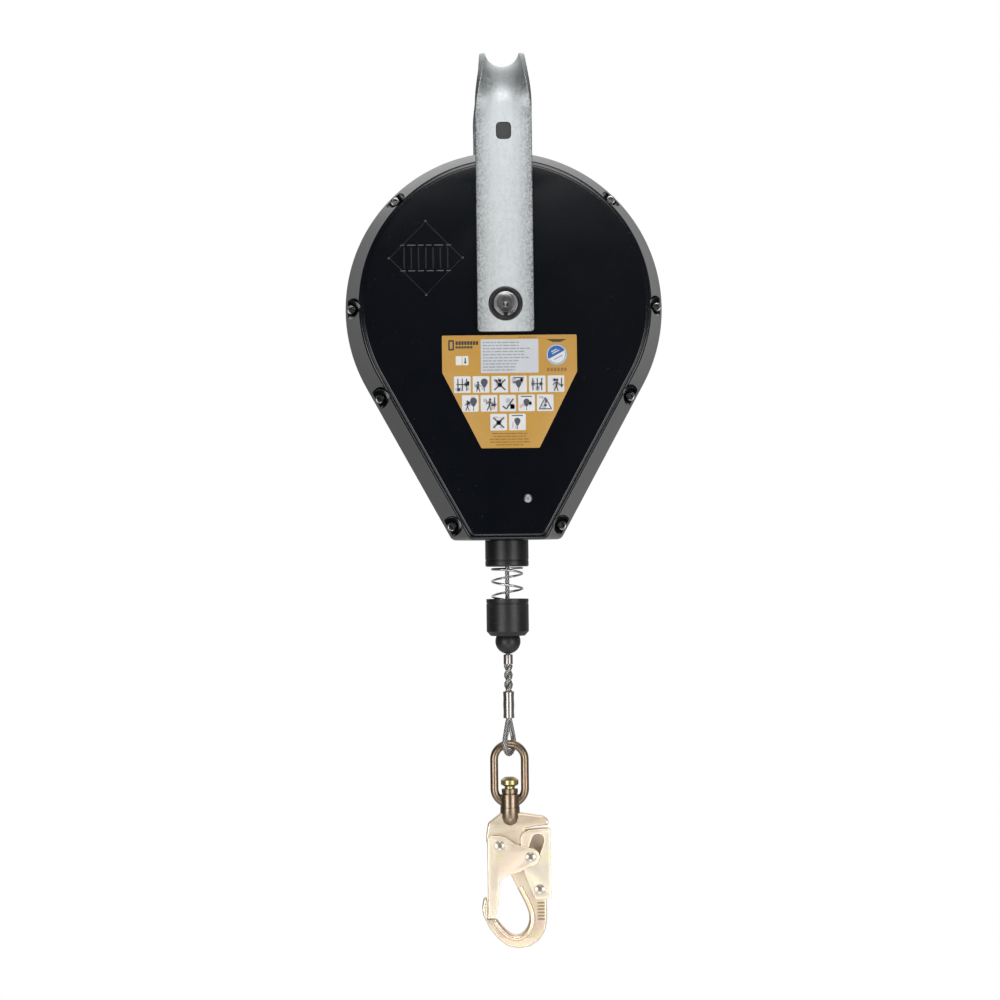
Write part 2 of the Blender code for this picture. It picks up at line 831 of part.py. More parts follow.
def rope_guide():
    flare = 25.0
    top = THROAT_Z + 21.4
    body = block("rope_guide", (-22, -20, THROAT_Z), (27, 20, top), "black_plastic")
    ends = [(GUIDE_SCREW_X, y, GUIDE_SCREW_Z) for y in (-20, 12)]
    pillar = rods("guide_pillar", [(*ends, 7)], segments=12)
    cut(body, pillar, "UNION")
    bore = [(0, THROAT_Z - 1), (5, THROAT_Z - 1)]
    for i in range(5):
        rise = 22.4 * i / 4
        bore.append((5 + flare - math.sqrt(flare * flare - rise * rise), THROAT_Z + rise))
    bore.append((0, THROAT_Z + 22.4))
    funnel = turned("guide_bore", bore, None, along="Z", centre=(0, 0, 0), steps=18)
    cut(body, funnel)
    ends = [(GUIDE_SCREW_X, y, GUIDE_SCREW_Z) for y in (-24, -4)]
    thread = rods("guide_thread", [(*ends, GUIDE_THREAD_R)], segments=10)
    cut(body, thread)
    head = [(0, -53.0), (2.2, -52.8), (3.6, -51.6), (3.8, -50.3), (2, -50.3), (2, -5), (0, -5)]
    turned("guide_screw", head, "screw_zinc", centre=(GUIDE_SCREW_X, 0, GUIDE_SCREW_Z), steps=12)


def nozzle():
    profile = [
        (18, -409.8),
        (18, -413.6),
        (NOZZLE_NECK_R, -413.6),
        (NOZZLE_NECK_R, NOZZLE_TOP),
        (NOZZLE_R, NOZZLE_TOP),
        (NOZZLE_R, NOZZLE_END + 2),
        (NOZZLE_R - 0.8, NOZZLE_END + 0.5),
        (NOZZLE_R - 2.4, NOZZLE_END),
        (7.5, NOZZLE_END),
        (NOZZLE_BORE, NOZZLE_END + 5),
        (NOZZLE_BORE, -409.8),
    ]
    piece = turned("rope_nozzle", profile, "black_plastic", along="Z", centre=(0, 0, 0), steps=24)
    smooth(piece)


def buffer_group():
    seat_r = BALL_R + 0.4
    seat = []
    for i in range(5):
        rise = (CUP_END - BALL_Z) + (10.2 - (CUP_END - BALL_Z)) * i / 4
        seat.append((math.sqrt(seat_r * seat_r - rise * rise), BALL_Z + rise))
    profile = seat + [
        (seat[-1][0], CUP_FLOOR),
        (CUP_R - 3, CUP_FLOOR),
        (CUP_R - 3, CUP_TOP - 1),
        (CUP_R - 2.4, CUP_TOP),
        (CUP_R - 0.8, CUP_TOP),
        (CUP_R, CUP_TOP - 0.8),
        (CUP_R, CUP_END + 4),
        (CUP_R - 1.4, CUP_END + 1.2),
        (CUP_R - 4, CUP_END),
    ]
    cup = turned("buffer_cup", profile, "buffer_rubber", along="Z", centre=(0, 0, 0), steps=24)
    smooth(cup)
    bore = 2.4
    pole = math.degrees(math.acos(bore / BALL_R))
    ball_arc = arc((0, BALL_Z), BALL_R, pole, -pole, 10)
    ball = turned("stop_ball", ball_arc, "buffer_rubber", along="Z", centre=(0, 0, 0), steps=20)
    smooth(ball, 60)
    sleeve = [(0, SLEEVE_TOP), (4.15, SLEEVE_TOP), (4.15, SLEEVE_END), (0, SLEEVE_END)]
    turned("stop_sleeve", sleeve, "ferrule_tin", along="Z", centre=(0, 0, 0), steps=14)
    top = NOZZLE_END - GAP - SPRING_WIRE
    bottom = CUP_FLOOR + GAP + SPRING_WIRE
    per_turn = 10
    total = int(SPRING_TURNS * per_turn)
    coil = []
    for i in range(total + 1):
        a = 2 * math.pi * i / per_turn
        share = i / total
        coil.append(
            (SPRING_R * math.cos(a), SPRING_R * math.sin(a), top + (bottom - top) * share)
        )
    wire("buffer_spring", coil, SPRING_WIRE, "spring_steel")


def rope_group():
    """The free rope, and the spliced end that runs round the thimble and back to the stop sleeve."""
    wire("lifeline_inside", inside_route(), ROPE_R, "rope_steel")
    top = NOZZLE_END - 0.2
    low = SLEEVE_TOP + GAP
    free = [(0.0, 0.0, top + (low - top) * i / 10) for i in range(11)]
    wire("lifeline_free", free, ROPE_R, "rope_steel")
    ferrule = [
        (4.4, FERRULE_TOP),
        (4.7, FERRULE_TOP),
        (5.0, FERRULE_TOP - 0.4),
        (5.0, FERRULE_END + 0.4),
        (4.7, FERRULE_END),
        (4.4, FERRULE_END),
    ]
    piece = turned("rope_ferrule", ferrule, "ferrule_tin", along="Z", centre=(0, 0, 0), steps=20)
    smooth(piece)
    wire("lifeline_eye", splice_route(), ROPE_R, "rope_steel")
    wire("eye_thimble", thimble_route(), 1.2, "screw_zinc", closed=True)


def eye_start():
    """Angle on the eye's round, in its own plane, where its straight side begins."""
    rise = FERRULE_END - 2.0 - EYE_Z
    reach = math.hypot(STRAND, rise)
    return math.degrees(math.atan2(rise, STRAND) - math.acos(EYE_R / reach))


def splice_route():
    """Down beside the tail, twisted with it through the ferrule, round the eye and back the same way."""
    top = SLEEVE_END - 4 * GAP
    low = FERRULE_END - 1.0
    steps = 16
    down = []
    for i in range(steps + 1):
        a = math.radians(180.0 + (EYE_TURN - 360.0) * i / steps)
        down.append((STRAND * math.cos(a), STRAND * math.sin(a), top + (low - top) * i / steps))
    start = eye_start()
    bow = arc((0, EYE_Z), EYE_R, start, -180 - start, 16)
    back = [(-x, -y, z) for x, y, z in down[::-1]]
    return down + [in_eye_plane(-u, z) for u, z in bow] + back


def in_eye_plane(u, z):
    turn = math.radians(EYE_TURN)
    return (u * math.cos(turn), u * math.sin(turn), z)


def thimble_route():
    """The thimble's ring, a constant distance inside the rope's eye."""
    start = eye_start()
    radius = EYE_R - 3.6
    apex = in_eye_plane(0.0, EYE_Z + radius / math.sin(math.radians(start)))
    bow = arc((0, EYE_Z), radius, start, -180 - start, 14)
    return [apex] + [in_eye_plane(u, z) for u, z in bow]


# Link and hook


def eye_link():
    low = LINK_END + LINK_HALF
    high = LINK_TOP - LINK_HALF
    loop = arc((0, high), LINK_HALF, 0, 180, 10) + arc((0, low), LINK_HALF, 180, 360, 10)
    piece = wire("eye_link", [(x, 0.0, z) for x, z in loop], LINK_WIRE, "link_zinc", closed=True)
    boss = turned(
        "link_boss",
        [(0, BOSS_TOP), (BOSS_R - 0.8, BOSS_TOP), (BOSS_R, BOSS_TOP - 0.8), (BOSS_R, BOSS_END), (0, BOSS_END)],
        None,
        along="Z",
        centre=(0, 0, 0),
        steps=20,
    )
    cut(piece, boss, "UNION")
    cut(piece, rods("link_bore", [((0, 0, -665), (0, 0, -630), 3.8)], segments=16))
    bolt = [
        (0, -630.8),
        (4.5, -631.2),
        (7.0, -632.6),
        (7.9, -634.6),
        (7.9, -636.2),
        (6.4, -638.0),
        (4.6, -639.0),
        (4.6, -641.0),
        (3.5, -641.0),
        (3.5, -668.0),
        (0, -668.0),
    ]
    piece = turned("swivel_bolt", bolt, "link_zinc", along="Z", centre=(0, 0, 0), steps=16)
    smooth(piece)


def body_outline():
    """The forged hook seen from the front."""
    crown = [(8.0, -662.5), (29.8, -666.0), (33.6, -669.2), (34.2, -672.2), (32.4, -674.4), (22.4, -674.8)]
    spine = [(13.2, -676.6), (13.2, -707.0), (24.0, -709.5), (31.9, -735.0), (31.9, -758.5)]
    outer = [(30.0, -768.0), (24.6, -776.4), (16.4, -781.8), (6.5, -783.5), (-3.5, -781.2)]
    outer += [(-12.0, -774.8), (-19.6, -765.2), (-25.2, -753.6), (-26.0, -747.0), (-24.6, -740.4)]
    nose = [(-22.8, -738.4), (-21.4, -740.6), (-21.3, -757.4), (-13.4, -757.4)]
    inner = [(-8.2, -764.2), (-3.0, -769.4), (1.2, -771.8), (5.2, -772.4), (10.2, -770.6)]
    inner += [(14.4, -766.4), (16.6, -760.0), (16.4, -753.0), (13.6, -745.0), (0.0, -717.6)]
    throat = [(-1.0, -706.0), (-4.0, -700.4), (-10.0, -699.8), (-16.0, -697.0), (-21.5, -689.0)]
    left = [(-21.5, -682.0), (-19.8, -671.6), (-8.0, -662.5)]
    return crown + spine + outer + nose + inner + throat + left


def hook_body():
    holes = [arc(pivot, 3.3, 0, 360, 16)[:-1] for pivot in (GATE_PIVOT, LEVER_PIVOT)]
    piece = flat("hook_body", body_outline(), -BODY_HALF, BODY_HALF, "yellow_zinc", holes)
    neck = turned(
        "hook_neck",
        [
            (0, BOSS_END - GAP),
            (8.3, BOSS_END - GAP),
            (8.75, BOSS_END - 1.0),
            (8.75, -667.0),
            (7.6, -671.0),
            (4.4, -674.2),
            (0, -675.4),
        ],
        None,
        along="Z",
        centre=(0, 0, 0),
        steps=16,
    )
    cut(piece, neck, "UNION")
    cut(piece, rods("neck_bore", [((0, 0, -668.4), (0, 0, -650), 3.8)], segments=16))
    seat = ((LEVER_SPRING_X[0] - GAP, 0, LEVER_SPRING_Z), (LEVER_SPRING_X[1], 0, LEVER_SPRING_Z), 3.4)
    cut(piece, rods("lever_spring_seat", [seat], segments=14))
    return piece


def gate():
    """Two cheeks joined by a strip down the mouth side, on the gate rivet."""
    lobe = arc(GATE_LOBE, 8.1, 62, -98, 8)
    outline = [(-20.6, -684.4), (-18.4, -682.4), (-8.0, -682.8), (-2.0, -685.4), (3.4, -689.8), (9.0, -691.8)]
    outline += lobe
    outline += [(8.4, -714.9), (-1.0, -717.0), (-8.4, -721.0), (-10.7, -726.5), (-11.2, -742.0)]
    outline += [(-14.4, -754.6), (-20.6, -754.6)]
    pivot = arc(GATE_PIVOT, 3.3, 0, 360, 16)[:-1]
    pin = arc(GATE_LOBE, 2.5, 0, 360, 12)[:-1]
    piece = flat("gate", outline, -GATE_OUT, -GATE_IN, "yellow_zinc", [pivot, pin])
    rear = flat("gate_rear_cheek", outline, GATE_IN, GATE_OUT, None, [pivot])
    strip = block("gate_strip", (-20.6, -GATE_OUT + 0.4, -754.6), (-18.9, GATE_OUT - 0.4, -699.6))
    cut(piece, strip, "UNION")
    cut(piece, rear, "UNION")
    return piece


def lock_lever():
    """The lever on the hook's back that has to be squeezed before the gate opens."""
    outline = [
        (9.0, -702.0),
        (9.0, -684.0),
        (11.0, -680.0),
        (16.0, -677.8),
        (28.0, -676.8),
        (34.0, -676.8),
        (35.8, -678.6),
        (35.8, -737.0),
        (34.0, -739.4),
        (21.4, -739.4),
        (11.0, -713.0),
    ]
    top = (24.5, -687.0)
    low = (19.3, -701.6)
    window = arc(top, 5.6, -19.6, 160.4, 8) + arc(low, 5.6, 160.4, 340.4, 8)
    hole = arc(LEVER_PIVOT, 3.3, 0, 360, 16)[:-1]
    piece = flat("lock_lever", outline, -LEVER_OUT, -LEVER_IN, "yellow_zinc", [window, hole])
    rear = flat("lever_rear_cheek", outline, LEVER_IN, LEVER_OUT, None, [hole])
    strip = block("lever_strip", (34.2, -LEVER_OUT + 0.4, -736.8), (35.8, LEVER_OUT - 0.4, -679.0))
    cut(piece, strip, "UNION")
    cut(piece, rear, "UNION")
    return piece


def rivet(name, place_at, shank, cheek, blind_end=None):
    """A rivet with a domed head outside each cheek, or a headed pin that ends short of the rear one."""
    head = [
        (0, cheek + 1.9),
        (2.4, cheek + 1.6),
        (RIVET_HEAD_R, cheek + 0.8),
        (RIVET_HEAD_R, cheek + GAP),
        (shank, cheek + GAP),
    ]
    rear = head
    if blind_end is not None:
        rear = [(0, blind_end), (shank, blind_end)]
    profile = rear + [(r, -t) for r, t in head[::-1]]
    turned(name, profile, "screw_zinc", centre=(place_at[0], 0, place_at[1]), steps=12)


def hook_springs():
    x, z = GATE_PIVOT
    coil = []
    turns = 1.5
    steps = 15
    for k in range(steps + 1):
        a = math.radians(-90) + 2 * math.pi * turns * k / steps
        coil.append((x + 4.2 * math.cos(a), -6.75 + 1.2 * k / steps, z + 4.2 * math.sin(a)))
    wire("gate_spring", coil, 0.3, "spring_steel")
    coil = []
    turns = 4.5
    steps = 36
    near, far = LEVER_SPRING_X
    for k in range(steps + 1):
        a = 2 * math.pi * turns * k / steps
        x = near + 0.5 + (far - near - 1.0) * k / steps
        coil.append((x, 2.6 * math.cos(a), LEVER_SPRING_Z + 2.6 * math.sin(a)))
    wire("lever_spring", coil, 0.45, "spring_steel")


def build():
    clear_scene()
    new_collection("self_retracting_lifeline")
    new_collection("cutters")
    shell("front_shell", -1)
    shell("rear_shell", 1)
    gasket()
    casing_screws()
    label()
    bracket()
    axle_group()
    brake_group()
    drum_group()
    pawls()
    rope_guide()
    nozzle()
    buffer_group()
    rope_group()
    eye_link()
    hook_body()
    gate()
    lock_lever()
    rivet("gate_rivet", GATE_PIVOT, 3.0, GATE_OUT)
    rivet("gate_lobe_rivet", GATE_LOBE, 2.2, GATE_OUT, LEVER_IN - 2 * GAP)
    rivet("lever_rivet", LEVER_PIVOT, 3.0, LEVER_OUT)
    hook_springs()


build()
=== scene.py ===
"""Looks of the self retracting lifeline: fine meshes and procedural finishes around the packed part.

Sizes are millimetres, and meshes are scaled to metres as they are made. The stage, the pattern scales and the
properties that have a unit are in metres. +Z is up, +X is right and the front faces -Y.
The origin is under the bracket's saddle.
"""

import math
import random

import bmesh
import bpy
from mathutils import Matrix, Vector


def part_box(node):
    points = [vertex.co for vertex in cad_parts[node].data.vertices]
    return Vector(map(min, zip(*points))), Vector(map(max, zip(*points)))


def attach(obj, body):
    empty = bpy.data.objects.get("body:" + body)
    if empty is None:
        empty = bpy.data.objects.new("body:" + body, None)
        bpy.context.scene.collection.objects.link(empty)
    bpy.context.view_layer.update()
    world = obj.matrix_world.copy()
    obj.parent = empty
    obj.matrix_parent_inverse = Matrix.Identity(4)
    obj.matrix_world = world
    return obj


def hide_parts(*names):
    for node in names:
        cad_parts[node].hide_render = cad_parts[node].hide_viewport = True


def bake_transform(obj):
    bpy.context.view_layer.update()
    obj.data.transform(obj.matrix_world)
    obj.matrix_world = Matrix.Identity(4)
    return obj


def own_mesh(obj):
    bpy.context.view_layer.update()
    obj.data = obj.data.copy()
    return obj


bl_info = {
    "name": "Self Retracting Lifeline",
    "version": (1, 0, 0),
    "blender": (4, 5, 0),
    "location": "View3D > Sidebar > Lifeline",
    "description": "Builds a fall arrest block with its bracket, wire rope and snap hook",
    "category": "Object",
}

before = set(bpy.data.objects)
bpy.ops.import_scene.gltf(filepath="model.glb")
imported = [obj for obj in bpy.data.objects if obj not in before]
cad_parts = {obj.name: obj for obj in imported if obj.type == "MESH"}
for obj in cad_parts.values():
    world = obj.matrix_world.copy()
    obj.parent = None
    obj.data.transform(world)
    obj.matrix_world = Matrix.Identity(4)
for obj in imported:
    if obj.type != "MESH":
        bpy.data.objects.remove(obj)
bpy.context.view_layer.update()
MM = 0.001
GAP = 0.3


def low(node, axis):
    """A CAD node's lowest coordinate on an axis, in millimetres."""
    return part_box(node)[0][axis] / MM


def high(node, axis):
    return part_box(node)[1][axis] / MM


def middle(node, axis):
    return (low(node, axis) + high(node, axis)) / 2


X, Y, Z = 0, 1, 2

# Driving sizes, read from the frame where a node gives them
AXLE_Z = middle("main_axle", Z)
AXLE_R = (high("main_axle", X) - low("main_axle", X)) / 2
AXLE_HALF = high("main_axle", Y)
RIM_R = 142.8
SIDE_ANGLE = math.radians(28.7)
CASING_BOTTOM = low("front_shell", Z)
SHELL_DEPTH = 50.0
DRAFT = 13.2
DRAFT_DEPTH = 46.0
WALL = 4.3
SEAM = 0.8
NECK_HALF = 20.0
NECK_TOP = high("rear_shell", Z)
POCKET_R = 9.0
POCKET_FLOOR = 9.0
SCREW_INSET = 6.0
LEG_HOLE_Z = -58.0
LEG_HOLE_ROUND = 4.6
GUIDE_SCREW = (17.7, -382.0)
NOZZLE_R = 19.5
NOZZLE_TOP = -418.3
NOZZLE_END = low("rope_nozzle", Z)
CUP_R = 19.0
CUP_TOP = high("buffer_cup", Z)
CUP_END = low("buffer_cup", Z)
CUP_FLOOR = CUP_TOP - 27.4
BALL_R = 11.35
BALL_Z = -509.0
SLEEVE_TOP = high("stop_sleeve", Z)
SLEEVE_END = low("stop_sleeve", Z)
STRAND = 2.15
FERRULE_TOP = high("rope_ferrule", Z)
FERRULE_END = low("rope_ferrule", Z)
EYE_R = 10.5
EYE_Z = -600.0
EYE_TURN = math.radians(64.0)
SPLICE_TURNS = 3
CORD_TOP = -414.0
THROAT_Z = -409.4
LEAVING_R = 92.4
GUIDE_BEND_R = 30.0
LINK_WIRE = 3.6
LINK_HALF = 13.75
LINK_TOP = -601.2
LINK_END = -654.6
BOSS_R = 8.5
BOSS_TOP = -641.3
BOSS_END = -657.7
GATE_PIVOT = (-9.9, -691.4)
GATE_LOBE = (17.7, -701.7)
LEVER_PIVOT = (25.7, -731.0)
LEVER_SPRING_Z = -716.0


# Sizes and colours that a user would change


class CasingLook(bpy.types.PropertyGroup):
    """The two plastic shells."""

    neck_round: bpy.props.FloatProperty(
        name="Neck Edge", description="Radius of the neck's upright edges", default=2.0, min=0.5, max=5.0
    )
    gloss: bpy.props.FloatProperty(
        name="Gloss Roughness", description="Roughness of the panel", default=0.17, min=0.02, max=1.0
    )
    shade: bpy.props.FloatVectorProperty(
        name="Plastic",
        description="Colour of the moulded plastic",
        subtype="COLOR",
        size=4,
        default=(0.0016, 0.0024, 0.0042, 1.0),
    )


class BracketLook(bpy.types.PropertyGroup):
    """The galvanised hanging bracket."""

    edge_round: bpy.props.FloatProperty(
        name="Edge", description="Radius of the bar's long edges", default=1.1, min=0.2, max=2.4
    )
    spangle: bpy.props.FloatProperty(
        name="Spangle Scale", description="Zinc crystals in a metre", default=520.0, min=20.0, max=900.0
    )
    shade: bpy.props.FloatVectorProperty(
        name="Zinc",
        description="Colour of the zinc coat",
        subtype="COLOR",
        size=4,
        default=(0.57, 0.6, 0.61, 1.0),
    )


class RopeLook(bpy.types.PropertyGroup):
    """The wire rope."""

    diameter: bpy.props.FloatProperty(
        name="Diameter", description="Rope diameter", default=0.004, unit="LENGTH", min=0.002, max=0.01
    )
    strands: bpy.props.IntProperty(
        name="Strands", description="Strands round the core", default=6, min=3, max=12
    )
    lay: bpy.props.FloatProperty(
        name="Lay", description="Length of a strand's full turn", default=0.022, unit="LENGTH", min=0.005
    )


class LabelLook(bpy.types.PropertyGroup):
    """The rating label."""

    shade: bpy.props.FloatVectorProperty(
        name="Label",
        description="Ground colour of the label",
        subtype="COLOR",
        size=4,
        default=(0.46, 0.25, 0.038, 1.0),
    )
    seed: bpy.props.IntProperty(name="Bars", description="Order of the plain bars", default=4, min=0)


class StageLook(bpy.types.PropertyGroup):
    """Camera and light."""

    distance: bpy.props.FloatProperty(
        name="Distance", description="Camera to the casing", default=2.17, unit="LENGTH", min=0.5
    )
    lens: bpy.props.FloatProperty(
        name="Lens", description="Focal length in millimetres", default=86.8, min=20.0, max=300.0
    )
    yaw: bpy.props.FloatProperty(
        name="Yaw",
        description="How far the camera stands to the left",
        default=math.radians(1.5),
        subtype="ANGLE",
    )
    pitch: bpy.props.FloatProperty(
        name="Pitch", description="How far the camera looks up", default=math.radians(1.35), subtype="ANGLE"
    )
    roll: bpy.props.FloatProperty(
        name="Roll", description="Turn about the view", default=math.radians(-0.7), subtype="ANGLE"
    )


# Node writing


class Signal:
    """A socket that Python's own arithmetic can be written on. Each sum adds its Math node."""

    def __init__(self, tree, socket):
        self.tree = tree
        self.socket = socket

    def math(self, operation, *values):
        node = self.tree.nodes.new("ShaderNodeMath")
        node.operation = operation
        for socket, value in zip(node.inputs, values):
            if isinstance(value, Signal):
                self.tree.links.new(value.socket, socket)
            else:
                socket.default_value = value
        return Signal(self.tree, node.outputs[0])

    def __add__(self, other):
        return self.math("ADD", self, other)

    __radd__ = __add__

    def __sub__(self, other):
        return self.math("SUBTRACT", self, other)

    def __rsub__(self, other):
        return self.math("SUBTRACT", other, self)

    def __mul__(self, other):
        return self.math("MULTIPLY", self, other)

    __rmul__ = __mul__

    def __truediv__(self, other):
        return self.math("DIVIDE", self, other)

    def __rtruediv__(self, other):
        return self.math("DIVIDE", other, self)

    def __pow__(self, other):
        return self.math("POWER", self, other)

    def sine(self):
        return self.math("SINE", self)

    def cosine(self):
        return self.math("COSINE", self)

    def fraction(self):
        return self.math("FRACT", self)

    def floor(self):
        return self.math("FLOOR", self)

    def absolute(self):
        return self.math("ABSOLUTE", self)

    def pingpong(self):
        """Rises from 0 to 1 and falls back, over and over."""
        return self.math("PINGPONG", self, 1.0)

    def above(self, level):
        return self.math("GREATER_THAN", self, level)

    def clamped(self):
        found = self.math("MULTIPLY", self, 1.0)
        found.socket.node.use_clamp = True
        return found


class Nodes:
    """Adds nodes to a tree: a type, its settings first, then the values or links of its sockets."""

    def __init__(self, tree):
        self.tree = tree

    def add(self, kind, settings=None, values=None, output=0):
        node = self.tree.nodes.new(kind)
        for name, value in (settings or {}).items():
            if name == "stops":
                self.set_stops(node.color_ramp, value)
            else:
                setattr(node, name, value)
        for name, value in (values or {}).items():
            socket = node.inputs[name]
            if isinstance(value, Signal):
                self.tree.links.new(value.socket, socket)
            else:
                socket.default_value = value
        return Signal(self.tree, node.outputs[output])

    @staticmethod
    def set_stops(ramp, stops):
        while len(ramp.elements) < len(stops):
            ramp.elements.new(1.0)
        for element, (position, colour) in zip(ramp.elements, stops):
            element.position = position
            element.color = colour

    def parts(self, vector):
        """The three numbers of a vector."""
        split = self.tree.nodes.new("ShaderNodeSeparateXYZ")
        self.tree.links.new(vector.socket, split.inputs[0])
        return [Signal(self.tree, socket) for socket in split.outputs]

    def ramp(self, value, *stops):
        """A grey ramp from (position, level) pairs."""
        colours = [(position, (level, level, level, 1.0)) for position, level in stops]
        return self.add("ShaderNodeValToRGB", {"stops": colours}, {"Fac": value})


class Finish(Nodes):
    """A procedural finish on a Principled shader, patterned on Object coordinates or the piece's UVs."""

    def __init__(self, name, colour, roughness, metallic=0.0, **fixed):
        self.material = bpy.data.materials.new(name)
        self.material.use_nodes = True
        super().__init__(self.material.node_tree)
        self.shader = self.tree.nodes["Principled BSDF"]
        self.shader.inputs["Base Color"].default_value = tuple(colour)[:3] + (1.0,)
        self.shader.inputs["Roughness"].default_value = roughness
        self.shader.inputs["Metallic"].default_value = metallic
        for label, value in fixed.items():
            self.shader.inputs[label.replace("_", " ")].default_value = value
        self.material.diffuse_color = tuple(colour)[:3] + (1.0,)

    def place(self, scale=(1.0, 1.0, 1.0), centre=(0.0, 0.0, 0.0)):
        """Object coordinates in metres, moved to a centre and stretched."""
        here = self.add("ShaderNodeTexCoord", output="Object")
        settings = {"vector_type": "TEXTURE"}
        share = tuple(1.0 / s for s in scale)
        return self.add("ShaderNodeMapping", settings, {"Vector": here, "Location": centre, "Scale": share})

    def noise(self, scale, detail=3.0, place=None, rough=0.5):
        values = {"Vector": place or self.place(), "Scale": scale, "Detail": detail, "Roughness": rough}
        return self.add("ShaderNodeTexNoise", None, values)

    def mix(self, share, first, second):
        """Two colours, or a colour and a signal, mixed."""
        node = self.tree.nodes.new("ShaderNodeMix")
        node.data_type = "RGBA"
        for index, value in ((0, share), (6, first), (7, second)):
            socket = node.inputs[index]
            if isinstance(value, Signal):
                self.tree.links.new(value.socket, socket)
            elif index:
                socket.default_value = tuple(value)[:3] + (1.0,)
            else:
                socket.default_value = value
        return Signal(self.tree, node.outputs[2])

    def feed(self, **signals):
        for label, signal in signals.items():
            self.tree.links.new(signal.socket, self.shader.inputs[label.replace("_", " ")])

    def bump(self, height, strength, depth):
        """A Bump node on the shader's Normal. depth is in millimetres."""
        values = {"Height": height, "Strength": strength, "Distance": depth * MM}
        self.feed(Normal=self.add("ShaderNodeBump", None, values))


def tint(colour, factor):
    return tuple(min(1.0, c * factor) for c in tuple(colour)[:3])


MADE = {}


def once(maker):
    """A finish is made the first time that it is asked for."""

    def found(*values):
        key = (maker.__name__, *values)
        if key not in MADE:
            MADE[key] = maker(*values)
        return MADE[key]

    return found


@once
def moulded_plastic(name, colour, gloss):
    """Black moulded plastic: fine spark grain, faint flow marks, rubbed patches and a little dust."""
    made = Finish(name, colour, gloss, 0.0, Specular_IOR_Level=0.5)
    flow = made.noise(7.0, 4.0, made.place((1.0, 1.0, 0.45)))
    grain = made.noise(1900.0, 2.0)
    rub = made.noise(38.0, 5.0)
    dust = made.noise(520.0, 1.0).above(0.76)
    shade = made.mix(flow, tint(colour, 0.75), tint(colour, 1.5))
    made.feed(Base_Color=made.mix(dust * 0.3, shade, (0.08, 0.08, 0.085)))
    made.feed(Roughness=(gloss - 0.03 + rub * 0.05 + grain * 0.03 + dust * 0.1).clamped())
    made.bump(grain + rub * 0.6, 0.1, 0.05)
    return made.material


@once
def rubber(name, colour, roughness):
    """Dull rubber with a soft mottle and pale scuffs."""
    made = Finish(name, colour, roughness, 0.0)
    mottle = made.noise(60.0, 5.0)
    grain = made.noise(1300.0, 2.0)
    scuff = made.ramp(made.noise(210.0, 6.0, made.place((1.0, 1.0, 4.0))), (0.6, 0.0), (0.78, 1.0))
    shade = made.mix(mottle, tint(colour, 0.7), tint(colour, 1.5))
    made.feed(Base_Color=made.mix(scuff * 0.22, shade, (0.16, 0.16, 0.155)))
    made.feed(Roughness=(roughness - 0.07 + mottle * 0.16).clamped())
    made.bump(grain * 0.5 + mottle, 0.18, 0.12)
    return made.material


@once
def galvanised(colour, spangle):
    """Hot dip zinc: angular spangles with their own gloss, upright drawing streaks, dull spots, and painted
    shade that darkens the bar towards its long sides.
    """
    made = Finish("galvanised_zinc", colour, 0.5, 1.0)
    # Painted shade: this mask rises from the bar's middle to its long sides.
    painted_side_shade = (made.parts(made.place())[X].absolute() * 40.0).clamped() ** 2.4
    warp = made.noise(24.0, 2.0)
    spot = made.place((1.0, 1.0, 0.55))
    settings = {"feature": "F1", "distance": "MINKOWSKI"}
    values = {"Vector": spot, "Scale": spangle, "Exponent": 0.8, "Randomness": 1.0}
    crystal = made.add("ShaderNodeTexVoronoi", settings, values, output="Color")
    crystal = made.add("ShaderNodeRGBToBW", None, {"Color": crystal})
    streak = made.noise(300.0, 3.0, made.place((1.0, 1.0, 0.035)))
    pits = made.ramp(made.noise(620.0, 4.0), (0.60, 0.0), (0.70, 1.0))
    tone = crystal * 0.4 + streak * 0.34 + warp * 0.26
    shade = made.mix(tone, tint(colour, 0.8), tint(colour, 1.18))
    # Painted shade: the zinc is darkened towards the bar's long sides, broken up by a speckle.
    speck = made.ramp(made.noise(900.0, 5.0, made.place((1.0, 1.0, 0.6))), (0.4, 0.0), (0.62, 1.0))
    shade = made.mix(painted_side_shade * (speck * 0.6 + 0.4), shade, tint(colour, 0.22))
    made.feed(Base_Color=made.mix(pits * 0.3, shade, tint(colour, 0.6)))
    made.feed(Roughness=(0.42 + crystal * 0.12 + warp * 0.08 + pits * 0.12).clamped())
    made.bump(crystal * 0.5 + streak * 0.4 - pits * 0.5, 0.14, 0.08)
    return made.material


@once
def turned_metal(name, colour, roughness, centre, along):
    """Lathe turned metal: fine rings round an axis at a centre in millimetres, with stains between them."""
    made = Finish(name, colour, roughness, 1.0)
    place = made.place((1.0, 1.0, 1.0), tuple(c * MM for c in centre))
    across = [part for axis, part in enumerate(made.parts(place)) if axis != along]
    radius = (across[0] * across[0] + across[1] * across[1]) ** 0.5
    rings = (radius * 14000.0).sine() * 0.5 + 0.5
    stain = made.noise(90.0, 5.0)
    shade = made.mix(stain, tint(colour, 0.6), tint(colour, 1.3))
    made.feed(Base_Color=made.mix(rings * 0.2, shade, tint(colour, 0.55)))
    made.feed(Roughness=(roughness - 0.08 + stain * 0.18 + rings * 0.05).clamped())
    made.bump(rings + stain * 0.5, 0.12, 0.06)
    return made.material


@once
def plain_steel(name, colour, roughness, grain_scale):
    """Rolled, drawn or cast steel with a mottled skin and small pits."""
    made = Finish(name, colour, roughness, 1.0)
    stain = made.noise(70.0, 6.0)
    grain = made.noise(grain_scale, 3.0)
    pits = made.ramp(made.noise(grain_scale * 0.6, 3.0), (0.62, 0.0), (0.74, 1.0))
    shade = made.mix(stain, tint(colour, 0.65), tint(colour, 1.3))
    made.feed(Base_Color=made.mix(pits * 0.5, shade, tint(colour, 0.3)))
    made.feed(Roughness=(roughness - 0.08 + stain * 0.16 + pits * 0.12).clamped())
    made.bump(grain - pits, 0.12, 0.08)
    return made.material


